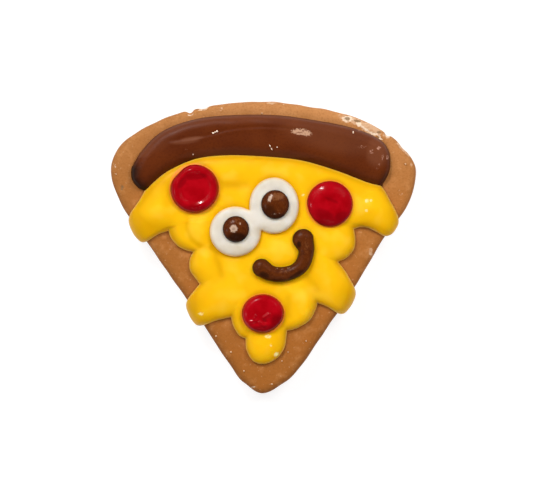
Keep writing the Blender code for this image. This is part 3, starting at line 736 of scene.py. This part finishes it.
# Each outline point heads for a guide that runs from the inner side of one corner to that of the
# next, then bends to the middle, along the quadratic curve outline, guide, middle.
def cheesePlan(stretches):
    outline = np.vstack(stretches)
    normals = inward(outline)
    starts = np.cumsum([0] + [len(stretch) for stretch in stretches[:-1]])
    anchors = outline[starts] + cheese["guideDepth"] * normals[starts]
    guide = [stretches[0] + cheese["guideDepth"] * normals[:len(stretches[0])]]
    for index, stretch in enumerate(stretches[1:], 1):
        share = np.linspace(0, 1, len(stretch), endpoint=False)[:, None]
        guide.append(anchors[index] * (1 - share) + anchors[(index + 1) % len(anchors)] * share)
    guide = np.vstack(guide)
    for _ in range(cheese["guidePasses"]):
        guide = (np.roll(guide, 1, axis=0) + guide + np.roll(guide, -1, axis=0)) / 3
    t = (np.linspace(0, 1, cheese["rows"], endpoint=False) ** cheese["crowding"])[:, None, None]
    middle = np.array(cheese["middle"])
    return outline, normals, (1 - t) ** 2 * outline + 2 * t * (1 - t) * guide + t * t * middle


# Distance to the nearest topping, 0 under it and no more than the most asked for.
def awayFrom(toppings, plan, most):
    away = np.full(len(plan), most)
    for outline in toppings:
        close = ((plan > outline.min(0) - most) & (plan < outline.max(0) + most)).all(1)
        _, gap = nearestOn(plan[close], outline)
        gap[insideOf(plan[close], outline)] = 0
        away[close] = np.minimum(away[close], gap)
    return away


# Each point moves to the mean of its neighbours, over and over, but the outline's rows stay.
def smoothed(grid, passes):
    for _ in range(passes):
        mean = (np.roll(grid, 1, axis=1) + 2 * grid + np.roll(grid, -1, axis=1)) / 4
        grid = np.vstack([grid[:1], (mean[:-2] + 2 * mean[1:-1] + mean[2:]) / 4, mean[-1:]])
    return grid


# Height above the dough: a rounded edge, a slow swell inwards, the domes, creases and drooping
# tips, and a dip where a topping has sunk in. It is smoothed, less so near the outline. The edge is
# undercut: rings under the outline step inwards as the cosine of their turns and down as the sine.
def makeCheese(material, toppings):
    outline, normals, plan = cheesePlan(cheeseOutline())
    flat = plan.reshape(-1, 2)
    _, inset = nearestOn(flat, outline)
    away = awayFrom(toppings, flat, 3.0)
    clear = smoothStep(away / cheese["dipWidth"])
    creases = bells(flat, cheese["creases"])
    free = cheese["edgeHeight"] + cheese["swell"] * smoothStep(inset / cheese["swellWidth"])
    free = free + clear * bells(flat, cheese["domes"]) - (1 - clear) * cheese["dip"]
    free = free + creases + bells(flat, cheese["droops"])
    free = free + cheese["lumps"] * unevenness(flat[:, 0], flat[:, 1], 9, 21)
    rise = (clearance + roundEdge(inset, cheese["edge"]) * free).reshape(plan.shape[:2])
    keep = bell(inset, 1.0).reshape(rise.shape)
    rise = keep * rise + (1 - keep) * smoothed(rise, cheese["passes"])
    rise = np.maximum(rise, cheese["footHeight"])
    top = [overDough(row, lift) for row, lift in zip(plan, rise)]
    under = []
    lowest = cheese["underTurns"][0]
    for turn in cheese["underTurns"]:
        share = (1 - math.cos(turn)) / (1 - math.cos(lowest))
        row = outline + cheese["underCut"] * share * normals
        drop = (cheese["footHeight"] + cheese["footDepth"]) * math.sin(turn) / math.sin(lowest)
        under.append(overDough(row, np.full(len(row), cheese["footHeight"] - drop)))
    _, seamInset = nearestOn(flat, crustSeam(-crust["tuck"]), closed=False)
    level = rise.reshape(-1)
    # Painted shade: the listed places, the creases, low places, the outline, the seam and round the
    # toppings.
    yellowShade = (bells(flat, cheese["yellowShade"]) - creases
            + np.clip((cheese["level"] - level) / cheese["levelDepth"], 0, 1)
            + cheese["rimStrength"] * bell(inset, cheese["rimWidth"])
            + cheese["seamStrength"] * bell(seamInset, cheese["seamWidth"])
            + cheese["contactStrength"] * (1 - smoothStep(away / cheese["contactWidth"])) * (away > 0))
    below = np.zeros(len(under) * len(outline))
    plans = np.vstack([np.repeat(outline[None], len(under), 0).reshape(-1, 2), flat])
    # Painted highlight along the outline and the seam, full on the rings under the outline.
    paintedSheen = np.maximum(*(most * bell(gap, width) for gap, (most, width) in (
        (inset, cheese["rimHighlight"]), (seamInset, cheese["seamHighlight"]))))
    marks = {"edge": np.concatenate([below + 1, paintedSheen]),
             "yellowShade": np.concatenate([below + cheese["rimStrength"], np.clip(yellowShade, 0, 1)]),
             "domeHighlight": np.concatenate([below, smoothStep((level - cheese["domeHighlight"]) / cheese["domeHighlightDepth"])]),
             "bubbleGlint": blots(plans, cheese["bubbleGlints"]), "tipShade": blots(plans, cheese["tipShade"]),
             "dark": blots(plans, cheese["dark"])}
    return addPiece("yellowLobes", under + top, material, ["cheese_icing"], marks)


# Drops of icing: outlines that shrink to a middle

drops = {
    # rings under the outline: how far inwards, and how high in shares of the sink and of the foot
    "tucks": ((0.3, -1.0, 0.0), (0.2, -0.4, 0.0), (0.1, 0.0, 0.2), (0.03, 0.0, 0.6)),
    # the foot's share of the height, the width of the painted shade at the rim, and how the rows crowd
    # towards the rim
    "foot": 0.15, "rimWidth": 0.45, "crowding": 1.4,
}


# An oval with a shallow flat: both half-sizes shrink by the flat's depth times a bell of the angle
# from its bearing, in degrees.
def dropOutline(spec, count):
    turn = np.linspace(0, 2 * math.pi, count, endpoint=False)
    bearing, depth, spread = spec.get("flat", (0, 0, 1))
    apart = (np.degrees(turn) - bearing + 180) % 360 - 180
    shrink = depth * np.exp(-(apart / spread) ** 2)
    x = spec["centre"][0] + (spec["size"][0] - shrink) * np.cos(turn)
    y = spec["centre"][1] + (spec["size"][1] - shrink) * np.sin(turn)
    return evenSteps(np.column_stack([x, y]), count, True)


# The outline shrinks to the middle under a rounded edge, over a tucked-in foot. Its height is the
# drop's own plus the rise at a place, and never under the foot's share of the drop's.
def addDrop(name, outline, middle, base, height, edge, material, node, rise=None, marks=None,
            rows=60, sink=1.2, fullness=2.0):
    share = (np.linspace(0, 1, rows, endpoint=False) ** drops["crowding"])[:, None, None]
    plan = outline + share * (np.array(middle) - outline)
    flat = plan.reshape(-1, 2)
    _, inset = nearestOn(flat, outline)
    offset = flat - np.array(middle)
    lift = roundEdge(inset, edge, fullness) * (height + (rise(offset) if rise else 0))
    foot = drops["foot"] * height
    lift = np.maximum(lift, foot).reshape(plan.shape[:2])
    rings = [np.column_stack([row, base + up]) for row, up in zip(plan, lift)]
    normals = inward(outline)
    under = []
    for tuck, sunk, raised in drops["tucks"]:
        level = np.full(len(outline), base + sunk * sink + raised * foot)
        under.append(np.column_stack([outline + tuck * normals, level]))
    below = np.zeros(len(under) * len(outline))
    # Painted shade at the rim: full under the outline, fading inwards over the rim's width.
    kept = {"rim": bell(np.concatenate([below, inset]), drops["rimWidth"])}
    for label, blotList in (marks or {}).items():
        kept[label] = np.concatenate([below, blots(offset, blotList)])
    return addPiece(name, under + rings, material, [node], kept)


# Red drops

# Bearing, depth and spread of the flat; offset of the dish's middle, radius of its floor and width
# of its slope; line, half-width and rise of the relief; offset, half-sizes, turn and strength of
# the painted shade on its slopes. Offsets run from the drop's centre.
redDrops = {
    "redLeft": {
        "node": "pepperoni_left", "centre": (-19.8, 17.0), "size": (7.0, 7.0),
        "flat": (136.0, 0.6, 24.0), "height": 2.0, "edge": 2.1,
        "dish": {"offset": (0.1, 0.2), "floor": 3.7, "slope": 1.7, "depth": 0.45},
        "relief": [([(1.1, 5.1), (1.1, 5.1)], 0.5, 0.1), ([(1.2, 3.3), (2.0, 3.2)], 0.4, 0.08)],
        "slopeShade": [((0.0, -5.9), (5.5, 1.2), 0.0, 0.4), ((0.2, 3.4), (3.8, 0.9), 0.1, 0.45),
                 ((-3.4, 1.9), (0.9, 2.2), -0.6, 0.45)]},
    "redRight": {
        "node": "pepperoni_right", "centre": (19.3, 12.6), "size": (6.6, 6.6),
        "flat": (210.0, 0.2, 30.0), "height": 1.9, "edge": 5.2,
        "dish": None,
        "relief": [([(-0.9, 3.4), (0.4, 3.1)], 1.6, 0.1), ([(-0.8, 1.4), (2.2, 0.6)], 0.9, -0.16)],
        "slopeShade": [((-1.2, -3.6), (3.6, 1.7), -0.5, 0.5), ((0.6, 1.0), (2.2, 0.5), -0.4, 0.35),
                 ((3.0, -4.0), (2.4, 1.6), 0.6, 0.5), ((0.0, -5.4), (5.0, 1.2), 0.0, 0.5)]},
    "redBottom": {
        "node": "pepperoni_bottom", "centre": (0.0, -19.1), "size": (6.1, 5.6),
        "flat": (318.0, 0.25, 28.0), "height": 1.95, "edge": 2.2,
        "dish": None,
        "relief": [([(-0.8, -2.6), (0.4, -3.5)], 0.45, 0.34), ([(0.3, -1.1), (1.7, -0.2)], 0.5, 0.34),
                   ([(-3.8, -2.4), (-2.0, -2.0)], 0.5, 0.28), ([(2.0, -2.0), (4.4, -2.4)], 1.0, -0.2),
                   ([(-0.6, -2.0), (0.8, -2.4)], 0.4, -0.15), ([(-2.6, -1.4), (-2.2, -0.6)], 0.35, 0.2)],
        "slopeShade": [((4.2, -2.4), (1.9, 2.4), 0.3, 0.6), ((0.5, -4.4), (4.5, 1.2), 0.1, 0.5),
                 ((0.5, -2.0), (0.7, 0.4), 0.0, 0.4)]},
}
red = {"colour": "a80412", "patchColour": "98000a", "rimColour": "640308", "slopeShadeColour": "680006",
       "pointsRound": 260, "rows": 70}


# Red icing: piped while runny, so it sets with a wet-looking skin. Painted shade darkens its rim and some
# slopes.
def redIcing():
    material, tree, shader, place = newMaterial(
        "redIcing", **{"Roughness": 0.16, "Specular IOR Level": 0.28})
    paint(tree, shader, red["colour"], [
        (patches(tree, place, 3, 0.4, 0.65), red["patchColour"]),
        (softMark(tree, "slopeShade"), red["slopeShadeColour"]), (softMark(tree, "rim", 0.35), red["rimColour"])])
    fineRelief(tree, shader, place, [(2.2, 1.0, 0.12, 0.2)])
    return material


# Each drop's relief is added up, and the dish is taken off it: its full depth on its floor, none
# past its slope.
def makeReds(material, base):
    for name, spec in redDrops.items():
        def shape(offset, spec=spec):
            low = bells(offset, spec["relief"])
            dish = spec["dish"]
            if dish:
                away = np.linalg.norm(offset - np.array(dish["offset"]), axis=1)
                low -= dish["depth"] * (1 - smoothStep((away - dish["floor"]) / dish["slope"]))
            return low
        outline = dropOutline(spec, red["pointsRound"])
        addDrop(name, outline, spec["centre"], base, spec["height"], spec["edge"], material,
                spec["node"], shape, {"slopeShade": spec["slopeShade"]}, red["rows"])


# Eyes

eyes = {
    "left": {"centre": (-8.0, 4.6), "size": (7.4, 7.2)},
    "right": {"centre": (3.2, 12.1), "size": (7.15, 8.1)},
    "neck": 0.8, "height": 1.5, "edge": 2.0, "fullness": 2.3, "spokes": 1440, "pointsRound": 420,
    "colour": "ddd6ca", "patchColour": "d0c7b8", "rimColour": "e6c286", "shadeColour": "bda987",
    # place from the middle of both, half-sizes, turn and strength of the shaded lower parts
    "shade": [((-6.2, -10.0), (6.5, 2.6), 0.0, 0.7), ((5.8, -3.6), (6.0, 2.4), 0.0, 0.6)],
}
pupils = {
    # offset from the centre, half-sizes, turn and strength of the dried nib with its painted highlight, the
    # painted sheen on the upper side, and the painted shade on the lower side and the nib's darker middle
    "pupilLeft": {"node": "pupil_left", "centre": (-7.8, 5.3), "size": (3.8, 3.8),
                  "nibAndHighlight": [((-0.6, 0.15), (1.2, 1.2), 0.0, 1.0), ((1.3, 1.3), (0.25, 0.7), 0.2, 0.5)],
                  "paintedSheen": [((0.4, 2.3), (2.2, 1.1), 0.0, 0.3)],
                  "shadeSpots": [((0.4, -2.5), (3.0, 1.7), 0.0, 0.9), ((-0.6, 0.1), (0.5, 0.4), 0.0, 0.35)]},
    "pupilRight": {"node": "pupil_right", "centre": (3.5, 12.4), "size": (4.05, 4.2),
                   "nibAndHighlight": [((-1.4, 1.8), (0.6, 1.4), -0.35, 0.85), ((0.6, -2.7), (1.5, 0.25), 0.1, 0.4)],
                   "paintedSheen": [((0.6, 2.3), (2.4, 1.2), 0.1, 0.6)],
                   "shadeSpots": [((-1.9, -2.0), (2.2, 2.0), -0.5, 0.6), ((0.3, -3.4), (2.8, 0.9), 0.0, 0.6)]},
    "roughness": 0.25, "pointsRound": 180, "rows": 50, "sink": 0.6,
}


# White icing: off-white, smooth and satin. A little light passes into it, and its rim takes some
# yellow from the icing beneath, with painted shade there.
def whiteIcing():
    material, tree, shader, place = newMaterial(
        "whiteIcing", **{"Roughness": 0.4, "Specular IOR Level": 0.25,
                         "Subsurface Weight": 0.6, "Subsurface Scale": 1.2 * mm,
                         "Subsurface Radius": (1.0, 0.85, 0.6)})
    paint(tree, shader, eyes["colour"], [
        (patches(tree, place, 4, 0.4, 0.7), eyes["patchColour"]),
        (softMark(tree, "shade", 0.5), eyes["shadeColour"]),
        (softMark(tree, "rim", 0.7), eyes["rimColour"])])
    fineRelief(tree, shader, place, [(2.5, 1.0, 0.1, 0.15)])
    return material


# How far spokes from a place inside an oval run to its edge: the root of the oval's equation.
def reachToOval(start, spokes, oval):
    size = np.array(oval["size"])
    offset = (start - np.array(oval["centre"])) / size
    slant = spokes / size
    a, b, c = (slant * slant).sum(1), slant @ offset, offset @ offset - 1
    return (np.sqrt(b * b - a * c) - b) / a


# Two ovals run together: the longer reach along each spoke, which is half of their sum plus half
# of their difference, the difference rounded by the neck where they meet.
def eyesOutline(count):
    middle = (np.array(eyes["left"]["centre"]) + eyes["right"]["centre"]) / 2
    turn = np.linspace(0, 2 * math.pi, eyes["spokes"], endpoint=False)
    spokes = np.column_stack([np.cos(turn), np.sin(turn)])
    one, other = (reachToOval(middle, spokes, eyes[side]) for side in ("left", "right"))
    reach = (one + other + np.sqrt((one - other) ** 2 + eyes["neck"] ** 2)) / 2
    return middle, evenSteps(middle + reach[:, None] * spokes, count, True)


# The whites lie at the toppings' level, and each pupil runs from its solid's foot to its top.
def makeEyes(white, dark, base):
    middle, outline = eyesOutline(eyes["pointsRound"])
    addDrop("eyeWhites", outline, middle, base, eyes["height"], eyes["edge"], white,
            "eye_whites", marks={"shade": eyes["shade"]}, fullness=eyes["fullness"])
    for name in ("pupilLeft", "pupilRight"):
        spec = pupils[name]
        foot = nodeFoot(spec["node"])
        outline = dropOutline(spec, pupils["pointsRound"])
        addDrop(name, outline, spec["centre"], foot, nodeTop(spec["node"]) - foot, min(spec["size"]),
                dark, spec["node"], None,
                {label: spec[label] for label in ("nibAndHighlight", "paintedSheen", "shadeSpots")}, pupils["rows"], pupils["sink"])


# Smile: a round tube laid along its line, swollen at both ends

smile = {
    # places and half-widths along the line
    "knots": [
        (11.6, 2.3, 3.1), (12.5, -1.0, 2.3), (11.5, -4.6, 2.2), (9.1, -6.8, 2.1), (5.4, -7.8, 2.2),
        (2.2, -7.4, 2.3), (-0.4, -5.9, 2.7)],
    "height": 2.3, "sink": 0.4, "rimStart": 0.72, "stations": 150, "capStations": 16, "around": 64,
    "dipHalfWidth": 2.2, "roughness": 0.32,
    # place, half-sizes, turn and strength of the painted highlights, the painted sheen and the painted
    # shade
    "nibAndHighlight": [((5.6, -6.2), (0.45, 0.35), 0.0, 0.5), ((7.4, -6.0), (0.6, 0.3), 0.3, 0.5),
            ((3.9, -6.1), (0.4, 0.3), 0.0, 0.4), ((-0.9, -5.7), (0.4, 0.6), 0.0, 0.35)],
    "paintedSheen": [((12.6, 0.5), (0.7, 2.5), 0.0, 0.35), ((6.5, -7.0), (2.5, 0.5), 0.1, 0.3)],
    "shadeSpots": [((10.4, 0.9), (0.6, 0.9), 0.2, 0.85), ((0.4, -7.9), (1.6, 0.9), -0.35, 0.8),
              ((9.3, -8.3), (3.2, 0.8), 0.6, 0.75), ((4.6, -9.5), (3.0, 0.5), 0.0, 0.6)],
}


# The band that the smile covers, for the dip under it: its line moved to either side.
def smileOutline():
    line = evenSteps(smoothCurve(smile["knots"]), 40)[:, :2]
    side = smile["dipHalfWidth"] * inward(line)
    return np.vstack([line[1:-1] - side[1:-1], (line[1:-1] + side[1:-1])[::-1]])


# An oval with its lower half sunk is carried along the line; at the ends it shrinks as a ball does,
# as the sine of a turn, while it moves out as the cosine.
def makeSmile(material):
    line = evenSteps(smoothCurve(smile["knots"]), smile["stations"])
    along = np.gradient(line[:, :2], axis=0)
    along /= np.linalg.norm(along, axis=1, keepdims=True)
    turns = np.linspace(0, math.pi / 2, smile["capStations"], endpoint=False)[1:]

    # Each ring has a centre, a half-width, a direction and a share of the full height.
    def cap(end, way):
        return [(line[end, :2] + way * math.cos(turn) * line[end, 2] * along[end],
                 line[end, 2] * math.sin(turn), along[end], math.sin(turn)) for turn in turns]
    body = [(spot[:2], spot[2], direction, 1.0) for spot, direction in zip(line, along)]
    high = smile["height"] - smile["sink"]
    low = nodeTop("smile") - high
    angle = np.linspace(0, 2 * math.pi, smile["around"], endpoint=False)
    rings, rims = [], []
    for centre, half, direction, share in cap(0, -1) + body + cap(-1, 1)[::-1]:
        side = np.array([-direction[1], direction[0]])
        flat = centre + (half * np.cos(angle))[:, None] * side
        rings.append(np.column_stack([flat, low + high * np.sin(angle) * share]))
        # Painted shade on the tube's sides: it grows from where the surface has turned outwards past the
        # rim's starting share.
        outward = np.hypot(np.cos(angle) * share, math.sqrt(1 - share ** 2))
        rims.append(smoothStep((outward - smile["rimStart"]) / (1 - smile["rimStart"])))
    plan = np.array(rings)[..., :2].reshape(-1, 2)
    marks = {label: blots(plan, smile[label]) for label in ("nibAndHighlight", "paintedSheen", "shadeSpots")}
    marks["rim"] = np.array(rims).reshape(-1)
    return addPiece("smileLine", rings, material, ["smile"], marks)


# Dark carob drops: the same icing as the crust, piped runny, so it is glossier. Painted shade makes it
# nearly black at the rim and on its lower sides, painted sheen paler on its upper sides, and painted
# highlights lie on it, some on pale dried nibs.
carob = {"colour": "58270a", "patchColour": "481d07", "sheenColour": "82502d", "speckColour": "8a5634",
         "nibAndHighlightColour": "c0a28c", "shadeSpotColour": "190b05", "rimColour": "190b05"}


def glossyCarob(name, roughness):
    material, tree, shader, place = newMaterial(
        name, **{"Roughness": roughness, "Specular IOR Level": 0.18})
    paint(tree, shader, carob["colour"], [
        (patches(tree, place, 1.2, 0.4, 0.7), carob["patchColour"]),
        (patches(tree, place, 0.35, 0.58, 0.72, 0.3), carob["speckColour"]),
        (brokenMark(tree, place, "paintedSheen", 0.6, 0.5, 0.7), carob["sheenColour"]),
        (brokenMark(tree, place, "nibAndHighlight", 0.45, 0.8, 0.9), carob["nibAndHighlightColour"]),
        (softMark(tree, "shadeSpots", 0.85), carob["shadeSpotColour"]),
        (softMark(tree, "rim", 0.6), carob["rimColour"])])
    fineRelief(tree, shader, place, [(1.4, 2.0, 0.15, 0.12)])
    return material


# Crumbs: pale flecks of dough and flour, at their true size

crumbs = {
    # place, half-sizes and turn
    "onCrust": [((-14.4, 33.1), (0.35, 0.3), 0.4), ((-13.85, 33.35), (0.35, 0.22), 0.4),
                ((-13.3, 33.6), (0.36, 0.3), 0.4), ((2.0, 29.4), (0.15, 0.4), 0.4),
                ((2.5, 28.5), (0.15, 0.45), 0.5), ((4.1, 29.0), (0.2, 0.2), 0.0),
                ((26.1, 33.3), (0.2, 0.42), 0.1), ((-20.2, 26.9), (0.18, 0.18), 0.0)],
    "onDough": [((-0.3, 38.9), (0.3, 0.22), 0.0), ((-13.6, -25.7), (0.25, 0.3), 0.0),
                ((-9.3, -30.3), (0.28, 0.25), 0.0), ((-5.5, -35.8), (0.22, 0.25), 0.0),
                ((2.6, -39.6), (0.3, 0.22), 0.0), ((12.5, -27.1), (0.2, 0.25), 0.0),
                ((7.3, -30.3), (0.2, 0.2), 0.0), ((5.5, -32.9), (0.2, 0.2), 0.0),
                ((-42.6, 21.3), (0.2, 0.25), 0.0), ((41.3, 24.2), (0.25, 0.25), 0.0)],
    # half the height, how much of it stands above the middle's level, and unevenness of the radius
    "thickness": 0.22, "lift": 0.3, "uneven": 0.22, "rows": 7, "around": 10, "seed": 4,
    "colour": "f3dfd0", "patchColour": "e2bf98", "toastedColour": "cf9f6c",
}


# Dry dough crumb: chalky and matt. The crumbs that lie on the dough are toasted darker.
def driedCrumb():
    material, tree, shader, place = newMaterial(
        "driedCrumb", **{"Roughness": 0.8, "Specular IOR Level": 0.2})
    paint(tree, shader, crumbs["colour"], [
        (patches(tree, place, 0.4, 0.4, 0.7), crumbs["patchColour"]),
        (softMark(tree, "toasted", 0.7), crumbs["toastedColour"])])
    fineRelief(tree, shader, place, [(0.3, 2.0, 0.3, 0.05)])
    return material


# Each crumb is a ball squashed to its sizes and partly sunk in the surface. Its radius swells and
# shrinks in three waves, each crumb with its own phase and depth.
def makeCrumbs(material):
    spots = crumbs["onCrust"] + crumbs["onDough"]
    places = np.array([spot[0] for spot in spots])
    halves = np.array([spot[1] for spot in spots])
    turn = np.array([spot[2] for spot in spots])[:, None, None]
    ground = doughRise(places)
    onCrust = len(crumbs["onCrust"])
    ground[:onCrust] = doughTop + crustRise(places[:onCrust])[0]
    rows, around = crumbs["rows"], crumbs["around"]
    polar, bearing = np.meshgrid(np.linspace(0, math.pi, rows + 2)[1:-1],
                                 np.linspace(0, 2 * math.pi, around, endpoint=False), indexing="ij")
    draw = np.random.default_rng(crumbs["seed"])
    depth = crumbs["uneven"] * draw.uniform(-1, 1, (len(spots), 1, 1))
    phase = draw.uniform(0, 6, (len(spots), 1, 1))
    uneven = 1 + depth * np.sin(3 * bearing + phase) * np.sin(polar)
    a = halves[:, 0, None, None] * np.sin(polar) * np.cos(bearing) * uneven
    b = halves[:, 1, None, None] * np.sin(polar) * np.sin(bearing) * uneven
    x = places[:, 0, None, None] + a * np.cos(turn) - b * np.sin(turn)
    y = places[:, 1, None, None] + a * np.sin(turn) + b * np.cos(turn)
    z = ground[:, None, None] + crumbs["thickness"] * (crumbs["lift"] - np.cos(polar)) + 0 * x
    poles = crumbs["thickness"] * (crumbs["lift"] + np.array([-1, 1]))
    middle = np.column_stack([places, ground])[:, None] + poles[:, None] * np.array([0, 0, 1])
    points = np.concatenate([np.stack([x, y, z], -1).reshape(len(spots), -1, 3), middle], 1)
    quads, fans = skinFaces(rows, around)
    faces = []
    for start in range(0, points.shape[0] * points.shape[1], points.shape[1]):
        faces += (quads + start).tolist() + (fans + start).tolist()
    toasted = np.repeat(np.arange(len(spots)) >= onCrust, points.shape[1]).astype(float)
    return placePiece("paleCrumbs", points.reshape(-1, 3), faces, material,
                      marks={"toasted": toasted})


# Light, floor and camera

photo = {"width": 540, "centreX": 270.0, "centreY": 245.5, "bodyX": 263.0, "bodyY": 247.5,
         "mmPerPixel": 0.29}
studio = {
    "cameraHeight": 900.0, "sensor": 36.0,
    # name, place and width in metres, power in watts and whether gloss mirrors it
    "lamps": [("keyLeft", (-0.35, 0.35, 0.55), 0.35, 2.55, False),
              ("keyRight", (0.35, 0.35, 0.55), 0.35, 3.05, False),
              ("fill", (0.0, -0.45, 0.50), 0.30, 1.4, False),
              ("spark", (-0.20, 0.44, 0.50), 0.055, 1.2, True),
              ("side", (-0.5, -0.05, 0.40), 0.05, 0.2, True)],
    # the sky's strength up to a height and from a height on, 1 being straight up
    "horizon": 0.1, "horizonTo": 0.5, "zenith": 0.04, "zenithFrom": 0.95,
    "tableColour": "a0a0a0", "tableGlow": 0.75, "tableSize": 6,
    "floorGap": 0.2,     # keeps the floor out of the plane of the underside
}


# Floor, sky, lamps turned to face the part, and a camera far above it. The lens's length is the
# sensor's width times the distance to the dough's top over the width that the photograph shows.
def makeStudio():
    scene = bpy.context.scene
    scene.view_settings.view_transform = "Standard"     # the photograph's colours are plain sRGB
    material = newMaterial("whiteLightTable", **{
        "Roughness": 0.9, "Specular IOR Level": 0.1, "Base Color": linear(studio["tableColour"]),
        "Emission Color": linear("ffffff"), "Emission Strength": studio["tableGlow"]})[0]
    bpy.ops.mesh.primitive_plane_add(size=studio["tableSize"], location=(0, 0, -studio["floorGap"] * mm))
    floor = bpy.context.object
    floor.name = "floor"
    floor.data.materials.append(material)

    # The sky is dim overhead, so that flat icing doesn't mirror it, and brighter lower down.
    world = bpy.data.worlds.new("studio")
    world.use_nodes = True
    tree = world.node_tree
    direction = add(tree, "ShaderNodeTexCoord").outputs["Generated"]
    toward = add(tree, "ShaderNodeSeparateXYZ", {"Vector": direction})
    glow = add(tree, "ShaderNodeMapRange", {
        "Value": toward.outputs["Z"], "From Min": studio["horizonTo"], "From Max": studio["zenithFrom"],
        "To Min": studio["horizon"], "To Max": studio["zenith"]}).outputs["Result"]
    tree.links.new(glow, tree.nodes["Background"].inputs["Strength"])
    tree.nodes["Background"].inputs["Color"].default_value = (1, 1, 1, 1)
    scene.world = world

    for name, place, size, power, mirrored in studio["lamps"]:
        light = bpy.data.lights.new(name, "AREA")
        light.shape = "DISK"
        light.size = size
        light.energy = power
        lamp = bpy.data.objects.new(name, light)
        lamp.location = place
        lamp.visible_glossy = mirrored
        lamp.rotation_euler = (math.atan2(math.hypot(place[0], place[1]), place[2]), 0,
                               math.atan2(-place[1], -place[0]) - math.pi / 2)
        bpy.context.collection.objects.link(lamp)

    lens = bpy.data.cameras.new("camera")
    lens.sensor_width = studio["sensor"]
    span = photo["width"] * photo["mmPerPixel"]
    lens.lens = studio["sensor"] * (studio["cameraHeight"] - doughTop) / span
    camera = bpy.data.objects.new("camera", lens)
    camera.location = ((photo["centreX"] - photo["bodyX"]) * photo["mmPerPixel"] * mm,
                       (photo["bodyY"] - photo["centreY"]) * photo["mmPerPixel"] * mm,
                       studio["cameraHeight"] * mm)
    bpy.context.collection.objects.link(camera)
    scene.camera = camera


makeStudio()
print("studio ready")
makeDough(bakedDough())
makeCrust(carobIcing())
toppings = [dropOutline(spec, 120) for spec in redDrops.values()]
toppings += [eyesOutline(160)[1], smileOutline()]
makeCheese(yellowIcing([(spec["centre"], spec["size"]) for spec in redDrops.values()]), toppings)
dropBase = nodeTop("eye_whites") - eyes["height"]
makeReds(redIcing(), dropBase)
makeEyes(whiteIcing(), glossyCarob("darkCarob", pupils["roughness"]), dropBase)
makeSmile(glossyCarob("smileCarob", smile["roughness"]))
makeCrumbs(driedCrumb())
print("pieces ready")
